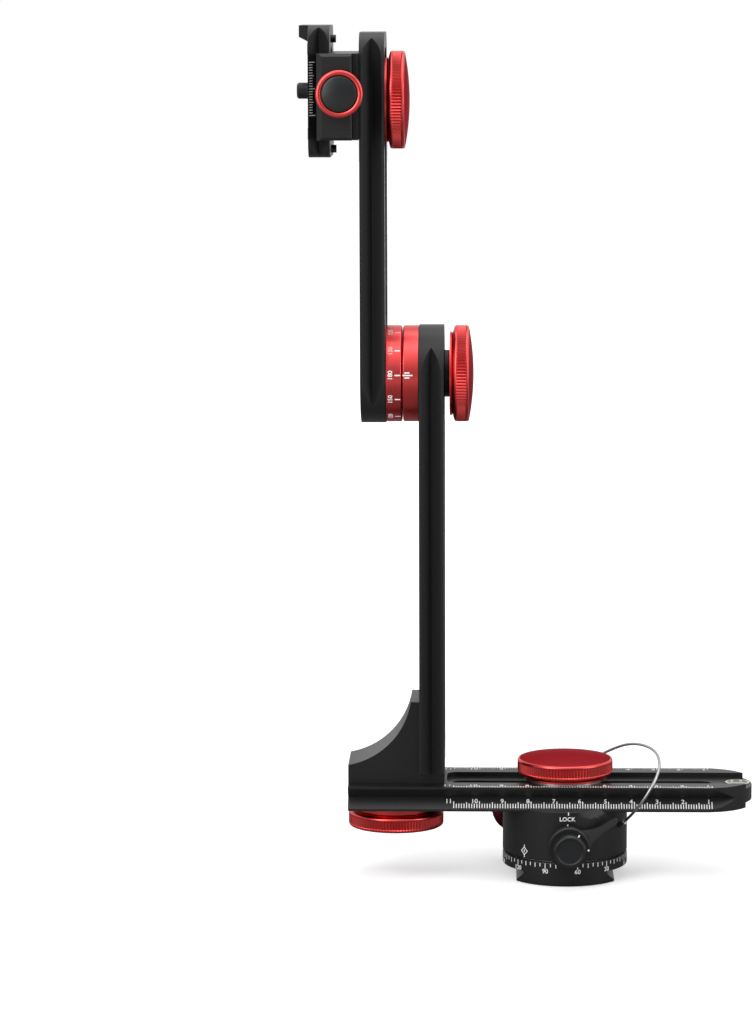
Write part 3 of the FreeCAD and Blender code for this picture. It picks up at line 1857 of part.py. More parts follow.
def build():
    fill_sheet()
    parts = [
        base_ring(),
        tripod_bushing(),
        pan_spindle(),
        spindle_screws(),
        glide_washer(),
        index_ring(),
        spindle_nut(),
        rotor_body(),
        rotor_cap(),
        cap_screws(),
        spindle_bush(),
        brake_shoe(),
        lock_screw(),
        lock_lever(),
        lock_cap(),
        click_plunger(),
        click_spring(),
        click_screw(),
        click_knob(),
        click_knob_cap(),
        base_rail(),
        *bubble_level(),
        *knob_set(
            "rail",
            "rail_washer_foot - cap_foot - 0.3",
            "0",
            "0",
            "rail_washer_foot",
            UP,
            "washer_thick",
        ),
        corner_bracket(),
        arm_screws(),
        *knob_set(
            "bracket",
            "rail_thick + 10",
            "-bracket_stud_at",
            "0",
            "rail_foot",
            DOWN,
            "bracket_washer_thick",
        ),
        lower_arm(),
        tilt_index_ring(),
        tilt_index_screws(),
        tilt_degree_ring(),
        tilt_degree_screws(),
        tilt_washer(),
        tilt_stud(),
        tilt_spacer(),
        tilt_knob(),
        tilt_knob_washer(),
        upper_arm(),
        clamp_body(),
        clamp_jaw(),
        clamp_screw(),
        clamp_knob(),
        clamp_knob_cap(),
        guide_pins(),
        clamp_springs(),
        *knob_set(
            "arm",
            "rail_thick + 7",
            "-upper_arm_right",
            "0",
            "clamp_axis",
            RIGHTWARD,
            "washer_thick",
        ),
        camera_plate(),
        plate_pads(),
        plate_stops(),
        camera_screw(),
        camera_screw_washer(),
        lanyard_tab(),
        lanyard_wire(),
        lanyard_ferrule(),
    ]
    doc.recompute()
    return parts


def check(parts):
    """Nothing is written unless every feature rebuilt and every piece is a sound solid."""
    for feature in doc.Objects:
        if "Invalid" in feature.State or "Error" in feature.State:
            raise RuntimeError(f"{feature.Label} failed: {feature.State}")
    for part in parts:
        shape = part.Shape
        if shape.isNull() or not shape.isValid() or not shape.Solids:
            raise RuntimeError(f"{part.Label} is not a sound solid")


def write(parts):
    os.makedirs("parts", exist_ok=True)
    for part in parts:
        part.Shape.exportStep(f"parts/{part.Label}.step")
    print(f"{len(parts)} pieces")


head = build()
check(head)
write(head)
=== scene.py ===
import json
import math

import bmesh
import bpy
from bpy.props import FloatProperty, FloatVectorProperty, IntProperty, PointerProperty
from bpy.types import Operator, Panel, PropertyGroup
from mathutils import Matrix, Vector

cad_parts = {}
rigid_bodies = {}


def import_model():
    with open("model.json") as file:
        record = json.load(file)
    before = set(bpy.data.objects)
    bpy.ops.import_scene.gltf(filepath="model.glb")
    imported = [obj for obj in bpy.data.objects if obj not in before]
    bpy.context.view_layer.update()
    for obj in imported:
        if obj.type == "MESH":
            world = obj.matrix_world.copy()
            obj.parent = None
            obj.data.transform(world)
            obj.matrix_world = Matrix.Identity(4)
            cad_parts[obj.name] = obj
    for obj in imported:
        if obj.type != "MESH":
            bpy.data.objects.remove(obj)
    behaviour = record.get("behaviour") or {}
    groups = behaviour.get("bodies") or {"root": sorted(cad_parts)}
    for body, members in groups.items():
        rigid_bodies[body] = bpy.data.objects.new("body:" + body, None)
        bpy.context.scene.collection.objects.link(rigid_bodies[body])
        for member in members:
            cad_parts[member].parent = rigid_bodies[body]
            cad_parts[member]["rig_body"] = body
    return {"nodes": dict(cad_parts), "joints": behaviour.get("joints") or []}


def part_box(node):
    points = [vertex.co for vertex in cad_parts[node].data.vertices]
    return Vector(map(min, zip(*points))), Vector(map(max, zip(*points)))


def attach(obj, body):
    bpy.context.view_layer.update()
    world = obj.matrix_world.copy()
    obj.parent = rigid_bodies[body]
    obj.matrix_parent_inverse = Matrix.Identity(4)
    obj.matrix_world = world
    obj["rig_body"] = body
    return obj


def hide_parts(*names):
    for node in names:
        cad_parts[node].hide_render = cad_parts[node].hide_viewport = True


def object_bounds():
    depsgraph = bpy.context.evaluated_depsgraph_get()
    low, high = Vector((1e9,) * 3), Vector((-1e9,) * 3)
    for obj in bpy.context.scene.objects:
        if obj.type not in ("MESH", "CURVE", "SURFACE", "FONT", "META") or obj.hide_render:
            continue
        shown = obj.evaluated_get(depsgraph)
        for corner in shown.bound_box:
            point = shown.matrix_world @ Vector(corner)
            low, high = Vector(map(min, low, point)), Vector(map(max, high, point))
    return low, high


bl_info = {
    "name": "Panoramic Tripod Head",
    "version": (1, 0, 0),
    "blender": (4, 5, 0),
    "location": "3D View > Sidebar > Pano Head",
    "description": "Knurled knobs, scales and anodised finishes for a panoramic tripod head",
    "category": "Object",
}

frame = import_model()
cad_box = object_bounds()

MM = 0.001

# The frame's width and the lens's focal length, in pixels.
PX_WIDE = 753
PX_FOCAL = 3757.0

# On machined pieces, flatter edges than the first are dissolved and sharper ones than the second
# are broken.
FLAT_EDGE = math.radians(0.6)
SHARP_EDGE = math.radians(32)

# A flute takes four columns of a knob's rim, and presses each in by its share of the depth.
FLUTE_SHARES = (0.0, 0.55, 1.0, 0.55)

# A mark's middle stands this far off a round surface, and its paint reaches this far to each side
# of the middle, in millimetres.
MARK_GAP = 0.005
MARK_HALF = 0.03


# ---------------------------------------------------------------- settings


class HeadFinishes(PropertyGroup):
    """Colours and gloss of the metal, plastic and paint."""

    black: FloatVectorProperty(
        name="Black anodising",
        description="Dye of the rails, arms, base and clamp",
        subtype="COLOR",
        size=3,
        min=0.0,
        max=1.0,
        default=(0.0092, 0.0092, 0.0099),
    )
    black_gloss: FloatProperty(
        name="Black roughness",
        description="How satin the black anodising is",
        subtype="FACTOR",
        min=0.05,
        max=1.0,
        default=0.4,
    )
    red: FloatVectorProperty(
        name="Red anodising",
        description="Dye of the knobs and tilt rings",
        subtype="COLOR",
        size=3,
        min=0.0,
        max=1.0,
        default=(0.7, 0.043, 0.041),
    )
    red_gloss: FloatProperty(
        name="Red roughness",
        description="How satin the red anodising is",
        subtype="FACTOR",
        min=0.05,
        max=1.0,
        default=0.33,
    )
    plastic: FloatVectorProperty(
        name="Cap plastic",
        description="Caps of the small knobs and the lock",
        subtype="COLOR",
        size=3,
        min=0.0,
        max=1.0,
        default=(0.0105, 0.0112, 0.012),
    )
    steel: FloatVectorProperty(
        name="Steel",
        description="Studs, screws and the lanyard wire",
        subtype="COLOR",
        size=3,
        min=0.0,
        max=1.0,
        default=(0.56, 0.57, 0.58),
    )
    paint: FloatVectorProperty(
        name="Mark paint",
        description="Paint in the engraved scales",
        subtype="COLOR",
        size=3,
        min=0.0,
        max=1.0,
        default=(0.78, 0.78, 0.76),
    )


class HeadKnobs(PropertyGroup):
    """Knurling of the clamping knobs."""

    flutes: IntProperty(
        name="Big knob flutes",
        description="Grooves round each of the four clamping knobs",
        min=24,
        max=140,
        default=96,
    )
    flute_depth: FloatProperty(
        name="Big flute depth",
        description="Depth of a groove in millimetres",
        min=0.05,
        max=1.0,
        default=0.5,
    )
    small_flutes: IntProperty(
        name="Small knob flutes",
        description="Grooves round the clamp and click knobs",
        min=20,
        max=120,
        default=64,
    )
    small_flute_depth: FloatProperty(
        name="Small flute depth",
        description="Depth of a groove in millimetres",
        min=0.05,
        max=1.0,
        default=0.3,
    )


class HeadEdges(PropertyGroup):
    """Broken edges of the machined pieces."""

    edge: FloatProperty(
        name="Machined edge",
        description="Width of the broken edges in millimetres",
        min=0.02,
        max=0.6,
        default=0.22,
    )


class HeadStudio(PropertyGroup):
    """Lamps, world and floor."""

    key: FloatProperty(
        name="Key lamp",
        description="Soft lamp at the front left",
        unit="POWER",
        min=0.0,
        default=14.0,
    )
    fill: FloatProperty(
        name="Fill lamp",
        description="Soft lamp at the front right",
        unit="POWER",
        min=0.0,
        default=6.5,
    )
    top: FloatProperty(
        name="Top lamp",
        description="Soft lamp over the head",
        unit="POWER",
        min=0.0,
        default=8.0,
    )
    world: FloatProperty(
        name="World light",
        description="Strength of the even light all round",
        min=0.0,
        max=2.0,
        default=0.42,
    )
    room: FloatProperty(
        name="Room in reflections",
        description="How bright metal sees the room in front of the head and the far floor",
        min=0.0,
        max=1.0,
        default=0.3,
    )
    floor: FloatProperty(
        name="Floor",
        description="Grey level of the pale floor",
        subtype="FACTOR",
        min=0.0,
        max=1.0,
        default=0.8,
    )


def settings(name):
    """One of the scene's groups of settings."""
    return getattr(bpy.context.scene, name)


# ---------------------------------------------------------------- finishes


def shader_parts(name):
    """A new material's node tree, with its surface shader and the object's coordinates."""
    material = bpy.data.materials.new(name)
    material.use_nodes = True
    tree = material.node_tree
    shader = tree.nodes["Principled BSDF"]
    spot = tree.nodes.new("ShaderNodeTexCoord")
    return material, tree, shader, spot.outputs["Object"]


def satin(
    name, colour, metallic, roughness, grain, stretch=(1, 1, 1), mottle=0.1, relief=0.0, **sockets
):
    """A finish whose tone, gloss and surface vary a little over the piece. Its relief is in
    millimetres. The sockets are further constants of the surface shader, with _ for each space of
    their names."""
    _, tree, shader, spot = shader_parts(name)
    nodes = tree.nodes
    link = tree.links.new
    mapping = nodes.new("ShaderNodeMapping")
    mapping.inputs["Scale"].default_value = stretch
    link(spot, mapping.inputs["Vector"])
    noise = nodes.new("ShaderNodeTexNoise")
    noise.inputs["Scale"].default_value = grain
    noise.inputs["Detail"].default_value = 3.0
    link(mapping.outputs["Vector"], noise.inputs["Vector"])
    tone = nodes.new("ShaderNodeMix")
    tone.data_type = "RGBA"
    tone.inputs["A"].default_value = (*[c * (1 - mottle) for c in colour], 1)
    tone.inputs["B"].default_value = (*[min(1.0, c * (1 + mottle)) for c in colour], 1)
    link(noise.outputs["Fac"], tone.inputs["Factor"])
    link(tone.outputs["Result"], shader.inputs["Base Color"])
    gloss = nodes.new("ShaderNodeMapRange")
    gloss.inputs["To Min"].default_value = roughness * 0.88
    gloss.inputs["To Max"].default_value = roughness * 1.12
    link(noise.outputs["Fac"], gloss.inputs["Value"])
    link(gloss.outputs["Result"], shader.inputs["Roughness"])
    shader.inputs["Metallic"].default_value = metallic
    for socket, amount in sockets.items():
        shader.inputs[socket.replace("_", " ")].default_value = amount
    if relief:
        bump = nodes.new("ShaderNodeBump")
        bump.inputs["Strength"].default_value = 0.25
        bump.inputs["Distance"].default_value = relief * MM
        link(noise.outputs["Fac"], bump.inputs["Height"])
        link(bump.outputs["Normal"], shader.inputs["Normal"])


def make_finishes():
    """The materials of the head, by name."""
    looks = settings("head_finishes")
    black = tuple(looks.black)
    gloss = looks.black_gloss
    matt = {"Specular_IOR_Level": 0.32}
    along_x, along_z = (0.04, 1, 1), (1, 1, 0.04)
    satin("anodised_black", black, 0.0, gloss, 2600, mottle=0.12, relief=0.02, **matt)
    satin("black_extruded_x", black, 0.0, gloss, 700, along_x, 0.12, 0.015, **matt)
    satin("black_extruded_z", black, 0.0, gloss, 700, along_z, 0.12, 0.015, **matt)
    red = tuple(looks.red)
    # The knob faces take a darker, bluer copy of the red. This is painted shade for the faces,
    # which catch less light than the rims, and not a dye of their own.
    face_red_with_painted_shade = (red[0] * 0.55, red[1] * 1.2, red[2] * 1.5)
    # The click knob takes a near-black copy of the red. This is painted shadow for the shade it
    # sits in behind the rotor.
    red_with_painted_shadow = (red[0] * 0.16, red[1] * 0.6, red[2] * 0.9)
    gloss = looks.red_gloss
    clear = {"Coat_Weight": 0.9, "Coat_Roughness": 0.28, "Specular_Tint": (0.75, 0.12, 0.14, 1)}
    # This tint gives the reflections of both shaded copies of the red a dark purple cast.
    edge = {"Specular_Tint": (0.42, 0.17, 0.2, 1)}
    satin("anodised_red", red, 1.0, gloss, 1800, mottle=0.06, relief=0.01, **clear)
    satin("red_face_painted_shade", face_red_with_painted_shade, 1.0, gloss * 1.3, 1800, mottle=0.06, relief=0.012, **edge)
    satin("anodised_dark_red", red_with_painted_shadow, 1.0, gloss * 1.2, 1800, mottle=0.06, **edge)
    satin("cap_plastic", tuple(looks.plastic), 0.0, 0.34, 1500, mottle=0.08, relief=0.008, **matt)
    satin("bright_steel", tuple(looks.steel), 1.0, 0.26, 900, mottle=0.05)
    satin("dark_steel", (0.02, 0.02, 0.022), 0.6, 0.35, 900, mottle=0.1)
    satin("bush_bronze", (0.55, 0.32, 0.13), 1.0, 0.35, 900, mottle=0.08)
    satin("washer_plastic", (0.72, 0.7, 0.64), 0.0, 0.45, 900, mottle=0.04)
    satin("pad_rubber", (0.018, 0.018, 0.018), 0.0, 0.75, 2400, mottle=0.15, relief=0.05)
    satin("vial_metal", (0.7, 0.69, 0.66), 1.0, 0.22, 1200, mottle=0.05)
    satin("mark_paint", tuple(looks.paint), 0.0, 0.55, 2200, mottle=0.06)
    satin("lanyard_steel", (0.4, 0.41, 0.42), 1.0, 0.32, 1200, mottle=0.08)
    liquid = {"Transmission_Weight": 0.3, "IOR": 1.45}
    satin("level_liquid", (0.34, 0.36, 0.28), 0.0, 0.08, 600, mottle=0.04, **liquid)


CAD_FINISH = {
    "tripod_bushing": "bright_steel",
    "pan_spindle": "bright_steel",
    "spindle_screws": "dark_steel",
    "glide_washer": "washer_plastic",
    "index_ring": "bright_steel",
    "spindle_nut": "bright_steel",
    "cap_screws": "dark_steel",
    "spindle_bush": "bush_bronze",
    "brake_shoe": "bush_bronze",
    "click_spring": "bright_steel",
    "lock_screw": "bright_steel",
    "click_screw": "bright_steel",
    "click_plunger": "bright_steel",
    "rail_stud": "bright_steel",
    "bracket_stud": "bright_steel",
    "arm_stud": "bright_steel",
    "tilt_stud": "dark_steel",
    "arm_screws": "dark_steel",
    "tilt_index_screws": "dark_steel",
    "tilt_degree_screws": "dark_steel",
    "tilt_washer": "washer_plastic",
    "clamp_springs": "bright_steel",
    "clamp_screw": "bright_steel",
    "guide_pins": "bright_steel",
    "camera_screw": "dark_steel",
    "camera_screw_washer": "bright_steel",
    "plate_pads": "pad_rubber",
    "plate_stops": "dark_steel",
    "level_vial": "level_liquid",
    "level_cup": "vial_metal",
    "lanyard_ferrule": "lanyard_steel",
    "lanyard_tab": "bright_steel",
    "rail_washer": "anodised_red",
    "bracket_washer": "anodised_red",
    "arm_washer": "anodised_red",
    "tilt_knob_washer": "anodised_red",
}

EASED_FINISH = {
    "base_ring": "anodised_black",
    "rotor_body": "anodised_black",
    "rotor_cap": "anodised_black",
    "lock_lever": "anodised_black",
    "lock_cap": "cap_plastic",
    "base_rail": "black_extruded_x",
    "corner_bracket": "anodised_black",
    "lower_arm": "black_extruded_z",
    "upper_arm": "black_extruded_z",
    "tilt_index_ring": "anodised_red",
    "tilt_degree_ring": "anodised_red",
    "tilt_spacer": "anodised_black",
    "clamp_body": "anodised_black",
    "clamp_jaw": "anodised_black",
    "camera_plate": "anodised_black",
    "click_knob_cap": "cap_plastic",
    "clamp_knob_cap": "cap_plastic",
}


# ---------------------------------------------------------------- modelling helpers


def smooth_by_angle(bm, degrees=35):
    """Rounded faces shade smooth, and edges sharper than the angle stay crisp."""
    limit = math.radians(degrees)
    for face in bm.faces:
        face.smooth = True
    for edge in bm.edges:
        edge.smooth = edge.calc_face_angle(0.0) < limit


def finished(name, bm, body, finish, replaces=(), degrees=35):
    """A piece from a mesh in metres, in the head's own frame, that rides on a body."""
    smooth_by_angle(bm, degrees)
    mesh = bpy.data.meshes.new(name)
    bm.to_mesh(mesh)
    bm.free()
    piece = bpy.data.objects.new(name, mesh)
    bpy.context.scene.collection.objects.link(piece)
    finishes = [finish] if isinstance(finish, str) else finish
    for look in finishes:
        mesh.materials.append(bpy.data.materials[look])
    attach(piece, body)
    if replaces:
        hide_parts(*replaces)
    return piece


def settle(bm, matrix):
    """Takes a mesh drawn in millimetres to its place in metres."""
    bmesh.ops.transform(bm, matrix=matrix @ Matrix.Scale(MM, 4), verts=bm.verts)


def tidy(bm):
    """Merges doubles and turns the faces outwards."""
    bmesh.ops.remove_doubles(bm, verts=bm.verts, dist=1e-5)
    bmesh.ops.recalc_face_normals(bm, faces=bm.faces)


def turned(profile, steps):
    """A closed outline of (radius, height) corners turned round Z."""
    bm = bmesh.new()
    corners = [bm.verts.new((radius, 0, height)) for radius, height in profile]
    edges = [bm.edges.new(pair) for pair in zip(corners, corners[1:])]
    bmesh.ops.spin(
        bm,
        geom=corners + edges,
        cent=(0, 0, 0),
        axis=(0, 0, 1),
        dvec=(0, 0, 0),
        angle=2 * math.pi,
        steps=steps,
        use_merge=True,
    )
    tidy(bm)
    return bm


def pointing(direction, origin):
    """A place whose +Z runs along a direction."""
    turn = Vector(direction).to_track_quat("Z", "Y").to_matrix().to_4x4()
    return Matrix.Translation(Vector(origin)) @ turn


def node_body(node):
    """The body that a node rides on."""
    return frame["nodes"][node]["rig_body"]


def stand_in(node, ending, bm, finish, degrees):
    """A piece that takes a node's place and rides on its body, with the finish it is given."""
    return finished(f"{node}_{ending}", bm, node_body(node), finish, [node], degrees)


def eased(node, width, finish):
    """The machined piece with its sharp edges broken."""
    bm = bmesh.new()
    bm.from_mesh(frame["nodes"][node].data)
    bmesh.ops.remove_doubles(bm, verts=bm.verts, dist=2e-6)
    bmesh.ops.dissolve_limit(
        bm, angle_limit=FLAT_EDGE, verts=bm.verts, edges=bm.edges, delimit=set()
    )
    sharp = [
        edge
        for edge in bm.edges
        if len(edge.link_faces) == 2 and edge.calc_face_angle(0.0) > SHARP_EDGE
    ]
    bmesh.ops.bevel(
        bm,
        geom=sharp,
        offset=width * MM,
        offset_type="OFFSET",
        segments=2,
        profile=0.5,
        affect="EDGES",
        clamp_overlap=True,
        material=-1,
    )
    piece = stand_in(node, "eased", bm, finish, degrees=38)
    crisp = piece.modifiers.new("Face shading", "WEIGHTED_NORMAL")
    crisp.keep_sharp = True


# ---------------------------------------------------------------- operators


class HEAD_OT_finishes(Operator):
    """Make the finishes and give them to the CAD pieces that show as they are"""

    bl_idname = "head.finishes"
    bl_label = "Finishes"

    def execute(self, context):
        make_finishes()
        for node, look in CAD_FINISH.items():
            mesh = frame["nodes"][node].data
            mesh.materials.clear()
            mesh.materials.append(bpy.data.materials[look])
        return {"FINISHED"}


class HEAD_OT_machined(Operator):
    """Break the edges of the machined rails, arms, bracket, base and clamp"""

    bl_idname = "head.machined"
    bl_label = "Machined pieces"

    def execute(self, context):
        width = settings("head_edges").edge
        for node, look in EASED_FINISH.items():
            eased(node, width, look)
        return {"FINISHED"}


# The wire's route, from the tab's roll up behind the rail knob and down to the ferrule, with its
# diameter and length, all in millimetres.
WIRE_ROUTE = [
    (3.4, 21.9, 39.63),
    (9.9, 21.9, 39.63),
    (17.2, 20.9, 44.6),
    (26.8, 12.9, 49.7),
    (35.4, -2.2, 50.0),
    (36.8, -18.6, 46.2),
    (32.4, -26.0, 38.6),
    (26.2, -23.0, 28.9),
    (22.4, -14.6, 23.4),
]
WIRE_DIAMETER = 1.1


class HEAD_OT_lanyard(Operator):
    """Lay the stiff steel wire from its tab over the rail to its ferrule"""

    bl_idname = "head.lanyard"
    bl_label = "Lanyard wire"

    def execute(self, context):
        curve = bpy.data.curves.new("lanyard_cable", "CURVE")
        curve.dimensions = "3D"
        curve.bevel_depth = WIRE_DIAMETER / 2 * MM
        curve.bevel_resolution = 5
        curve.resolution_u = 16
        curve.use_fill_caps = True
        spline = curve.splines.new("NURBS")
        spline.points.add(len(WIRE_ROUTE) - 1)
        for point, spot in zip(spline.points, WIRE_ROUTE):
            point.co = (*[c * MM for c in spot], 1)
        spline.order_u = 3
        spline.use_endpoint_u = True
        wire = bpy.data.objects.new("lanyard_cable", curve)
        context.scene.collection.objects.link(wire)
        curve.materials.append(bpy.data.materials["lanyard_steel"])
        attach(wire, node_body("lanyard_wire"))
        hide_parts("lanyard_wire")
        return {"FINISHED"}


def knurled(profile, flutes, radius, depth, low, high):
    """A turned knob, with flutes pressed into its rim between two heights."""
    columns = flutes * len(FLUTE_SHARES)
    bm = turned(profile, columns)
    rim, slack = radius - 0.02, 1e-4
    for vert in bm.verts:
        across = math.hypot(vert.co.x, vert.co.y)
        if across < rim or not low - slack <= vert.co.z <= high + slack:
            continue
        column = round(math.atan2(vert.co.y, vert.co.x) / (2 * math.pi) * columns)
        inward = FLUTE_SHARES[column % len(FLUTE_SHARES)] * depth
        vert.co.xy *= (across - inward) / across
    return bm


BIG_KNOBS = {
    "rail_knob": (0, 0, 1),
    "bracket_knob": (0, 0, -1),
    "tilt_knob": (1, 0, 0),
    "arm_knob": (1, 0, 0),
}


def rounded(radius, height, size, start, steps=4):
    """Corners of a quarter round on a turned rim, counter-clockwise from an angle in degrees."""
    return [
        (
            radius + size * math.cos(math.radians(start + 90 * step / steps)),
            height + size * math.sin(math.radians(start + 90 * step / steps)),
        )
        for step in range(steps + 1)
    ]


def big_knob(node, direction):
    """A wide disc with a knurled rim between two rounded edges and a crowned face."""
    knobs = settings("head_knobs")
    low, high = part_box(node)
    along = Vector(direction)
    centre = (low + high) / 2
    depth = abs((high - low).dot(along))
    foot = centre - along * depth / 2
    radius = max(high - low) / 2 / MM
    thick = depth / MM
    rise, edge, crown = 0.7, 0.8, 1.7
    bore, web, foot_radius, hair = 3.13, 1.4, 15.5, 0.02
    face = radius - edge
    shoulder = thick - crown
    rings = 12
    shares = [1 - ring / rings for ring in range(1, rings + 1)]
    dome = [(face * share, shoulder + crown * (1 - share**2)) for share in shares]
    profile = [
        (0, shoulder - web),
        (bore, shoulder - web),
        (bore, hair),
        (foot_radius, hair),
        (foot_radius + 0.3, 0.1),
        *rounded(face, rise + edge, edge, -90),
        (radius, rise + edge + 0.2),
        (radius, rise + edge + 0.5),
        (radius, shoulder - edge - 0.5),
        (radius, shoulder - edge - 0.2),
        *rounded(face, shoulder - edge, edge, 0),
        *dome,
    ]
    low_edge, high_edge = rise + edge + 0.3, shoulder - edge - 0.3
    bm = knurled(profile, knobs.flutes, radius, knobs.flute_depth, low_edge, high_edge)
    settle(bm, pointing(direction, foot))
    knob = stand_in(node, "knurled", bm, ["anodised_red", "red_face_painted_shade"], degrees=28)
    # The crowned face gets the second finish, the darker copy of the red that paints shade onto
    # it.
    top = foot + along * (shoulder - hair) * MM
    for polygon in knob.data.polygons:
        if (polygon.center - top).dot(along) > 0:
            polygon.material_index = 1


class HEAD_OT_big_knobs(Operator):
    """Knurl the four clamping knobs"""

    bl_idname = "head.big_knobs"
    bl_label = "Clamping knobs"

    def execute(self, context):
        for node, direction in BIG_KNOBS.items():
            big_knob(node, direction)
        return {"FINISHED"}


SMALL_KNOBS = {
    # The click knob's finish is the near-black copy of the red, which is painted shadow.
    "click_knob": ("click_tension_turn", "anodised_dark_red"),
    "clamp_knob": ("clamp_knob_turn", "anodised_red"),
}


def small_knob(node, direction, finish):
    """A knurled ring round the well that holds its black cap."""
    knobs = settings("head_knobs")
    low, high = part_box(node)
    along = Vector(direction).normalized()
    centre = (low + high) / 2
    spots = [vert.co - centre for vert in frame["nodes"][node].data.vertices]
    reach = [spot.dot(along) for spot in spots]
    foot = centre + along * min(reach)
    thick = (max(reach) - min(reach)) / MM
    radius = max((spot - along * spot.dot(along)).length for spot in spots) / MM
    bore, well, seat, hair = 3.05, 6.8, 2.4, 0.02
    profile = [
        (bore, hair),
        (radius - 1.7, hair),
        (radius - 1.3, 0.15),
        (radius - 0.15, 1.0),
        (radius, 1.35),
        (radius, thick - 0.75),
        (radius - 0.1, thick - 0.5),
        (radius - 0.35, thick - 0.22),
        (radius - 0.75, thick - 0.05),
        (radius - 1.1, thick),
        (well + 0.7, thick - 0.04),
        (well + 0.35, thick - 0.17),
        (well + 0.08, thick - 0.4),
        (well, thick - 0.65),
        (well, seat),
        (bore, seat),
        (bore, hair),
    ]
    depth = knobs.small_flute_depth
    bm = knurled(profile, knobs.small_flutes, radius, depth, 1.1, thick - 0.5)
    settle(bm, pointing(along, foot))
    stand_in(node, "knurled", bm, finish, degrees=28)


class HEAD_OT_small_knobs(Operator):
    """Knurl the click stop's knob and the camera clamp's knob"""

    bl_idname = "head.small_knobs"
    bl_label = "Small knobs"

    def execute(self, context):
        axes = {joint["name"]: joint["axis"] for joint in frame["joints"]}
        for node, (joint, finish) in SMALL_KNOBS.items():
            small_knob(node, axes[joint], finish)
        return {"FINISHED"}


# ---------------------------------------------------------------- marks


def lettering(text, high):
    """Flat letters in millimetres, centred on the origin, standing out by a hair."""
    capital, weight = 0.7, 0.02
    curve = bpy.data.curves.new("lettering", "FONT")
    curve.body = text
    curve.size = high / capital
    curve.align_x = "CENTER"
    curve.align_y = "CENTER"
    curve.extrude = MARK_HALF
    curve.offset = high * weight
    curve.resolution_u = 3
    holder = bpy.data.objects.new("lettering", curve)
    bpy.context.scene.collection.objects.link(holder)
    graph = bpy.context.evaluated_depsgraph_get()
    mesh = bpy.data.meshes.new_from_object(holder.evaluated_get(graph))
    bm = bmesh.new()
    bm.from_mesh(mesh)
    bpy.data.objects.remove(holder)
    bpy.data.curves.remove(curve)
    bpy.data.meshes.remove(mesh)
    return bm


def stroke(wide, high):
    """A thin painted line in millimetres, centred on the origin."""
    bm = bmesh.new()
    bmesh.ops.create_cube(bm, size=1.0)
    bmesh.ops.scale(bm, vec=(wide, high, MARK_HALF * 2), verts=bm.verts)
    return bm


def tick_length(step, major, minor, lengths):
    """A tick is longest at its scale's major steps and shortest between its minor ones."""
    short, middle, long = lengths
    return long if step % major == 0 else middle if step % minor == 0 else short


def at(x, y):
    """A place on the flat sheet that a scale is drawn on, in millimetres."""
    return Matrix.Translation((x, y, 0))


def gather(target, bm, matrix):
    """Adds a mark to a mesh, moved to its place, all in millimetres."""
    bmesh.ops.transform(bm, matrix=matrix, verts=bm.verts)
    mesh = bpy.data.meshes.new("mark")
    bm.to_mesh(mesh)
    bm.free()
    target.from_mesh(mesh)
    bpy.data.meshes.remove(mesh)


def wrap(bm, radius):
    """Bends a flat mesh in millimetres round an upright cylinder, its middle at -Y."""
    for vert in bm.verts:
        angle = vert.co.x / radius
        out = radius + vert.co.z
        vert.co = (out * math.sin(angle), -out * math.cos(angle), vert.co.y)


def pan_dial():
    """The base's degree scale, wrapped round it just under the rotor."""
    marks = bmesh.new()
    low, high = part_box("base_ring")
    radius = (high.x - low.x) / 2 / MM + MARK_GAP
    top = high.z / MM
    zero = 70.9  # degrees to the right of the front
    line, figure = 0.3, 1.7
    tick_top, figure_middle = top - 0.45, top - 3.6
    for degree in range(0, 360, 5):
        arc = math.radians(zero - degree) * radius
        long = tick_length(degree, 30, 10, (1.3, 1.7, 2.1))
        gather(marks, stroke(line, long), at(arc, tick_top - long / 2))
    for degree in range(0, 360, 30):
        arc = math.radians(zero - degree) * radius
        gather(marks, lettering(str(degree), figure), at(arc, figure_middle))
    wrap(marks, radius)
    settle(marks, Matrix.Identity(4))
    finished("pan_dial_marks", marks, "base", "mark_paint")


def diamond(size, line):
    """A flat outline of a square standing on its corner."""
    bm = bmesh.new()
    bmesh.ops.create_circle(bm, cap_ends=False, segments=4, radius=size)
    ring = bmesh.ops.extrude_edge_only(bm, edges=list(bm.edges))
    inner = [v for v in ring["geom"] if isinstance(v, bmesh.types.BMVert)]
    bmesh.ops.scale(bm, vec=(1 - line / size, 1 - line / size, 1), verts=inner)
    walls = bmesh.ops.extrude_face_region(bm, geom=list(bm.faces))
    lifted = [v for v in walls["geom"] if isinstance(v, bmesh.types.BMVert)]
    bmesh.ops.translate(bm, vec=(0, 0, MARK_HALF), verts=lifted)
    bmesh.ops.recalc_face_normals(bm, faces=bm.faces)
    return bm


def rotor_marks():
    """The lock word and its mark, the index under the rail's scale and the dial's pointer."""
    marks = bmesh.new()
    low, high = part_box("rotor_body")
    radius = (high.x - low.x) / 2 / MM + MARK_GAP
    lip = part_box("base_rail")[0].z / MM + 1.15
    line = 0.34
    gather(marks, lettering("LOCK", 1.6), at(0.55, lip - 2.95))
    gather(marks, stroke(0.45, 0.9), at(0.7, lip - 5.35))
    gather(marks, stroke(line, 1.2), at(1.0, lip - 0.75))
    pointer = at(math.radians(-41.0) * radius, low.z / MM + 3.0)
    gather(marks, diamond(1.7, 0.42), pointer)
    gather(marks, stroke(line, 1.1), pointer @ Matrix.Rotation(math.radians(-20), 4, "Z"))
    for side in (-1, 1):
        gather(marks, stroke(line, 0.9), pointer @ at(0, side * 2.0))
    wrap(marks, radius)
    settle(marks, Matrix.Identity(4))
    finished("rotor_marks", marks, "rotor", "mark_paint")


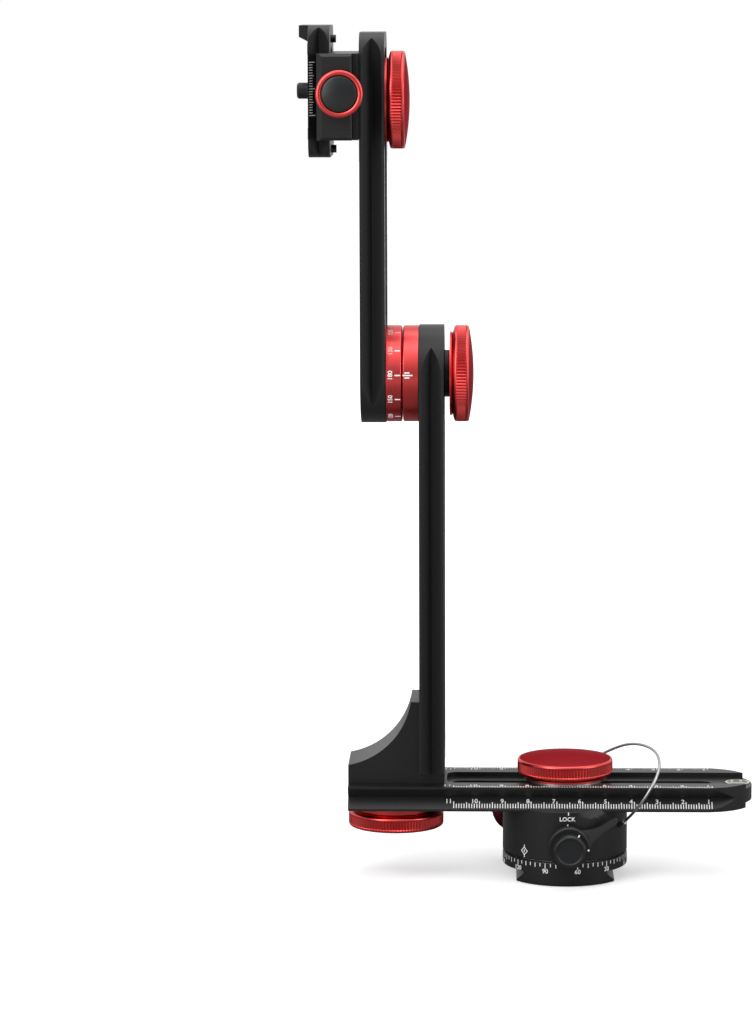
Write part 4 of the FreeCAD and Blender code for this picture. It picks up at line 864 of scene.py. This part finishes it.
def lever_marks():
    """Two small white marks on the rim of the lock lever's hub."""
    joint = next(j for j in frame["joints"] if j["name"] == "lock_turn")
    axis = Vector(joint["axis"]).normalized()
    pivot = Vector(joint["pos_m"])
    cap_face = max((v.co - pivot).dot(axis) for v in frame["nodes"]["lock_cap"].data.vertices)
    ring, below_cap = 7.15, 0.045
    marks = bmesh.new()
    for angle, wide, high in ((61.5, 0.5, 1.0), (5.8, 0.6, 0.6)):
        spot = Matrix.Rotation(math.radians(angle), 4, "Z") @ at(ring, 0)
        gather(marks, stroke(high, wide), spot)
    up = Vector((0, 0, 1))
    turn = Matrix((up.cross(axis), up, axis)).transposed().to_4x4()
    settle(marks, Matrix.Translation(pivot + axis * (cap_face - below_cap * MM)) @ turn)
    finished("lever_marks", marks, "lock_lever", "mark_paint")


class HEAD_OT_pan_marks(Operator):
    """Paint the pan dial and the marks of the rotor and the lock lever"""

    bl_idname = "head.pan_marks"
    bl_label = "Pan dial"

    def execute(self, context):
        pan_dial()
        rotor_marks()
        lever_marks()
        return {"FINISHED"}


def rail_scale(name, place, ticks, figure, line, way=1):
    """A millimetre scale along the rail, numbered each centimetre from its right end. The ticks
    stand on the place's own X line, and way -1 turns them to the other side of it."""
    zero, count = 66.6, 11
    middle = ticks[0] + figure / 2 + 0.15
    marks = bmesh.new()
    for step in range(10, count * 10 + 1):
        high = tick_length(step, 10, 5, ticks)
        gather(marks, stroke(line, high), at(zero - step, way * high / 2))
    for number in range(1, count + 1):
        aside = (0.45 if number < 10 else 0.85) * figure + 0.35
        spot = at(zero - number * 10 - aside, way * middle)
        gather(marks, lettering(str(number), figure), spot)
    bmesh.ops.transform(marks, matrix=place, verts=marks.verts)
    settle(marks, Matrix.Identity(4))
    finished(name, marks, "rail", "mark_paint")


class HEAD_OT_rail_marks(Operator):
    """Paint the millimetre scales on the rail's front groove and on both its top lands"""

    bl_idname = "head.rail_marks"
    bl_label = "Rail scales"

    def execute(self, context):
        low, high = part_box("base_rail")
        hair = 0.004
        front, back = low.y / MM, high.y / MM
        top = high.z / MM + hair
        half_groove = 3.9
        foot = (low.z + high.z) / 2 / MM - half_groove
        lift = 0.6 / math.sqrt(2)
        facet = Matrix.Translation((0, front + lift - hair, foot + lift + hair))
        facet @= Matrix.Rotation(math.radians(45), 4, "X")
        rail_scale("rail_front_scale", facet, (2.0, 2.7, 3.1), 1.9, 0.34)
        margin, ticks, figure, line = 0.5, (1.8, 2.4, 2.9), 2.5, 0.42
        front_land = Matrix.Translation((0, front + margin, top))
        rail_scale("rail_top_scale", front_land, ticks, figure, line)
        back_land = Matrix.Translation((0, back - margin, top))
        rail_scale("rail_back_scale", back_land, ticks, figure, line, way=-1)
        return {"FINISHED"}


class HEAD_OT_plate_marks(Operator):
    """Paint the millimetre ticks in the camera plate's front groove"""

    bl_idname = "head.plate_marks"
    bl_label = "Plate scale"

    def execute(self, context):
        low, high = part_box("camera_plate")
        pad_thick, chamfer, margin, hair = 0.4, 0.2, 0.5, 0.003
        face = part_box("plate_pads")[0].x / MM + pad_thick
        front = low.y / MM
        start = high.z / MM - 13.8
        marks = bmesh.new()
        for step in range(21):
            long = tick_length(step, 10, 5, (1.7, 2.3, 2.9))
            gather(marks, stroke(long, 0.34), at(margin + long / 2, -step))
        wall = Matrix.Translation((face + chamfer + hair, front - hair, start))
        wall @= Matrix.Rotation(math.radians(45), 4, "Z")
        wall @= Matrix.Rotation(math.radians(90), 4, "X")
        bmesh.ops.transform(marks, matrix=wall, verts=marks.verts)
        settle(marks, Matrix.Identity(4))
        finished("plate_scale", marks, node_body("camera_plate"), "mark_paint")
        return {"FINISHED"}


class HEAD_OT_tilt_marks(Operator):
    """Paint the tilt ring's degree scale and its index"""

    bl_idname = "head.tilt_marks"
    bl_label = "Tilt dial"

    # How far the scale and its index stand round from the front, and the width of their lines.
    LEAN = math.radians(3.2)
    LINE = 0.5

    def execute(self, context):
        for node, body, paint in (
            ("tilt_degree_ring", "tilt_arm", self.degrees),
            ("tilt_index_ring", "rail", self.index),
        ):
            low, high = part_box(node)
            radius = (high.z - low.z) / 2 / MM + MARK_GAP
            marks = bmesh.new()
            paint(marks, radius, (high.x - low.x) / MM)
            wrap(marks, radius)
            centre = (low + high) / 2
            lying = Matrix.Rotation(math.radians(-90), 4, "Y")
            settle(marks, Matrix.Translation(centre) @ lying)
            finished(f"{node}_marks", marks, body, "mark_paint")
        return {"FINISHED"}

    def degrees(self, marks, radius, wide):
        """Ticks and figures each 30 degrees, that count from 0 to 180 both ways."""
        for step in range(12):
            arc = (math.radians(step * 30) + self.LEAN) * radius
            degree = (180 + step * 30) % 360
            degree = degree if degree <= 180 else 360 - degree
            gather(marks, stroke(self.LINE, 2.1), at(arc, 1.55 - wide / 2))
            gather(marks, lettering(str(degree), 1.75), at(arc, wide / 2 - 1.95))

    def index(self, marks, radius, wide):
        """A long line between two short ones."""
        arc = self.LEAN * radius
        gather(marks, stroke(self.LINE, 3.8), at(arc, wide / 2 - 1.95))
        for side in (-1, 1):
            gather(marks, stroke(self.LINE, 1.9), at(arc + side * 0.95, wide / 2 - 1.75))


# ---------------------------------------------------------------- stage


def camera():
    """A long lens a little above the head, aimed just left of square on."""
    place = (-0.0265, -1.4454, 0.3463)
    sensor = 36.0
    pitch = math.radians(8.0)
    yaw = math.radians(1.864)
    roll = math.radians(0.2)
    ahead = Vector(
        (-math.sin(yaw) * math.cos(pitch), math.cos(yaw) * math.cos(pitch), -math.sin(pitch))
    )
    level = Vector((math.cos(yaw), math.sin(yaw), 0))
    upright = level.cross(ahead)
    right = level * math.cos(roll) - upright * math.sin(roll)
    above = level * math.sin(roll) + upright * math.cos(roll)
    lens = bpy.data.cameras.new("camera")
    lens.sensor_fit = "HORIZONTAL"
    lens.sensor_width = sensor
    lens.lens = sensor * PX_FOCAL / PX_WIDE
    lens.clip_start = 0.05
    lens.clip_end = 50.0
    holder = bpy.data.objects.new("camera", lens)
    bpy.context.scene.collection.objects.link(holder)
    turn = Matrix((right, above, -ahead)).transposed().to_4x4()
    holder.matrix_world = Matrix.Translation(place) @ turn
    bpy.context.scene.camera = holder


def softbox(name, spot, aim, size, power):
    """A rectangular soft lamp that faces a point."""
    lamp = bpy.data.lights.new(name, "AREA")
    lamp.shape = "RECTANGLE"
    lamp.size, lamp.size_y = size
    lamp.energy = power
    holder = bpy.data.objects.new(name, lamp)
    bpy.context.scene.collection.objects.link(holder)
    holder.matrix_world = pointing(Vector(spot) - Vector(aim), spot)


def ramp(tree, source, low, high):
    """A smooth step from 0 to 1 between two values of a socket."""
    step = tree.nodes.new("ShaderNodeMapRange")
    step.interpolation_type = "SMOOTHSTEP"
    step.inputs["From Min"].default_value = low
    step.inputs["From Max"].default_value = high
    tree.links.new(source, step.inputs["Value"])
    return step.outputs["Result"]


def blend(tree, factor, low, high):
    """A number between two, each given as a socket or as a plain number."""
    mix = tree.nodes.new("ShaderNodeMix")
    tree.links.new(factor, mix.inputs["Factor"])
    for name, source in (("A", low), ("B", high)):
        if isinstance(source, float):
            mix.inputs[name].default_value = source
        else:
            tree.links.new(source, mix.inputs[name])
    return mix.outputs["Result"]


def by_ray(tree, camera, gloss, rest):
    """A level for the camera and for clear pieces, one for gloss and one for all other light."""
    path = tree.nodes.new("ShaderNodeLightPath")
    clear = tree.nodes.new("ShaderNodeMath")
    clear.operation = "MAXIMUM"
    tree.links.new(path.outputs["Is Camera Ray"], clear.inputs[0])
    tree.links.new(path.outputs["Is Transmission Ray"], clear.inputs[1])
    shiny = blend(tree, path.outputs["Is Glossy Ray"], rest, gloss)
    return blend(tree, clear.outputs["Value"], shiny, camera)


def towards(tree, vector, direction):
    """How far a vector reaches along a direction."""
    reach = tree.nodes.new("ShaderNodeVectorMath")
    reach.operation = "DOT_PRODUCT"
    reach.inputs[1].default_value = direction
    tree.links.new(vector, reach.inputs[0])
    return reach.outputs["Value"]


def surround(scene, studio):
    """A white world. Gloss sees the backdrop behind the head and the sky over it white, and the
    room round them dim."""
    world = bpy.data.worlds.new("surround")
    scene.world = world
    world.use_nodes = True
    tree = world.node_tree
    back = tree.nodes["Background"]
    back.inputs["Color"].default_value = (1, 1, 1, 1)
    heading = tree.nodes.new("ShaderNodeTexCoord").outputs["Generated"]
    behind = ramp(tree, towards(tree, heading, (0, 1, 0)), -0.6, 0.7)
    above = ramp(tree, towards(tree, heading, (0, 0, 1)), 0.1, 0.8)
    gloss = blend(tree, above, blend(tree, behind, studio.room, 1.0), 1.0)
    tree.links.new(by_ray(tree, 1.0, gloss, studio.world), back.inputs["Strength"])


def floor_disc(scene, studio):
    """A pale floor that fades to white away from the head. Gloss sees it shaded near the head, as
    dim as the room further off and white far behind. All distances are in metres."""
    bm = bmesh.new()
    bmesh.ops.create_circle(bm, cap_ends=True, segments=64, radius=6.0)
    mesh = bpy.data.meshes.new("floor")
    bm.to_mesh(mesh)
    bm.free()
    floor = bpy.data.objects.new("floor", mesh)
    scene.collection.objects.link(floor)
    floor.location.z = cad_box[0].z - 0.0002
    material, tree, shader, spot = shader_parts("pale_floor")
    path = tree.nodes.new("ShaderNodeLightPath")
    pale = studio.floor
    shader.inputs["Roughness"].default_value = 0.9
    shader.inputs["Specular IOR Level"].default_value = 0.1
    shader.inputs["Emission Color"].default_value = (1, 1, 1, 1)
    length = tree.nodes.new("ShaderNodeVectorMath")
    length.operation = "LENGTH"
    tree.links.new(spot, length.inputs[0])
    away = length.outputs["Value"]
    behind = towards(tree, spot, (0, 1, 0))
    sheen = blend(tree, ramp(tree, away, 0.2, 1.1), pale * 0.28, pale * 0.6)
    shade = blend(tree, path.outputs["Is Glossy Ray"], pale, sheen)
    tree.links.new(shade, shader.inputs["Base Color"])
    shown = blend(tree, ramp(tree, away, 0.15, 0.7), 0.45, 1.0)
    dim = blend(tree, ramp(tree, away, 0.35, 1.0), 0.0, studio.room)
    gloss = blend(tree, ramp(tree, behind, 1.0, 3.0), dim, 1.0)
    tree.links.new(by_ray(tree, shown, gloss, 0.0), shader.inputs["Emission Strength"])
    mesh.materials.append(material)


class HEAD_OT_stage(Operator):
    """Set up the pale floor, the white surround, the lamps and the camera"""

    bl_idname = "head.stage"
    bl_label = "Stage"

    def execute(self, context):
        studio = settings("head_studio")
        camera()
        surround(context.scene, studio)
        floor_disc(context.scene, studio)
        aim = (0, 0, 0.17)
        softbox("key_softbox", (-0.85, -1.0, 0.8), aim, (0.6, 1.4), studio.key)
        softbox("fill_softbox", (1.15, -0.6, 0.6), aim, (0.5, 1.1), studio.fill)
        softbox("top_softbox", (0.05, 0.0, 1.3), aim, (1.4, 1.1), studio.top)
        context.scene.view_settings.view_transform = "Standard"
        return {"FINISHED"}


class HEAD_PT_panel(Panel):
    """Sidebar list of the steps that dress the head"""

    bl_idname = "HEAD_PT_panel"
    bl_label = "Panoramic head"
    bl_space_type = "VIEW_3D"
    bl_region_type = "UI"
    bl_category = "Pano Head"

    def draw(self, context):
        for step in STEPS:
            self.layout.operator(step.bl_idname)


STEPS = (
    HEAD_OT_stage,
    HEAD_OT_finishes,
    HEAD_OT_lanyard,
    HEAD_OT_machined,
    HEAD_OT_big_knobs,
    HEAD_OT_small_knobs,
    HEAD_OT_pan_marks,
    HEAD_OT_rail_marks,
    HEAD_OT_plate_marks,
    HEAD_OT_tilt_marks,
)
GROUPS = {
    "head_finishes": HeadFinishes,
    "head_knobs": HeadKnobs,
    "head_edges": HeadEdges,
    "head_studio": HeadStudio,
}


def register():
    for part in (*GROUPS.values(), *STEPS, HEAD_PT_panel):
        bpy.utils.register_class(part)
    for name, group in GROUPS.items():
        setattr(bpy.types.Scene, name, PointerProperty(type=group))


def unregister():
    for name in GROUPS:
        delattr(bpy.types.Scene, name)
    for part in reversed((*GROUPS.values(), *STEPS, HEAD_PT_panel)):
        bpy.utils.unregister_class(part)


def main():
    register()
    for step in STEPS:
        group, name = step.bl_idname.split(".")
        if getattr(getattr(bpy.ops, group), name)() != {"FINISHED"}:
            raise RuntimeError(f"{step.bl_label} did not finish")


if __name__ == "__main__":
    main()
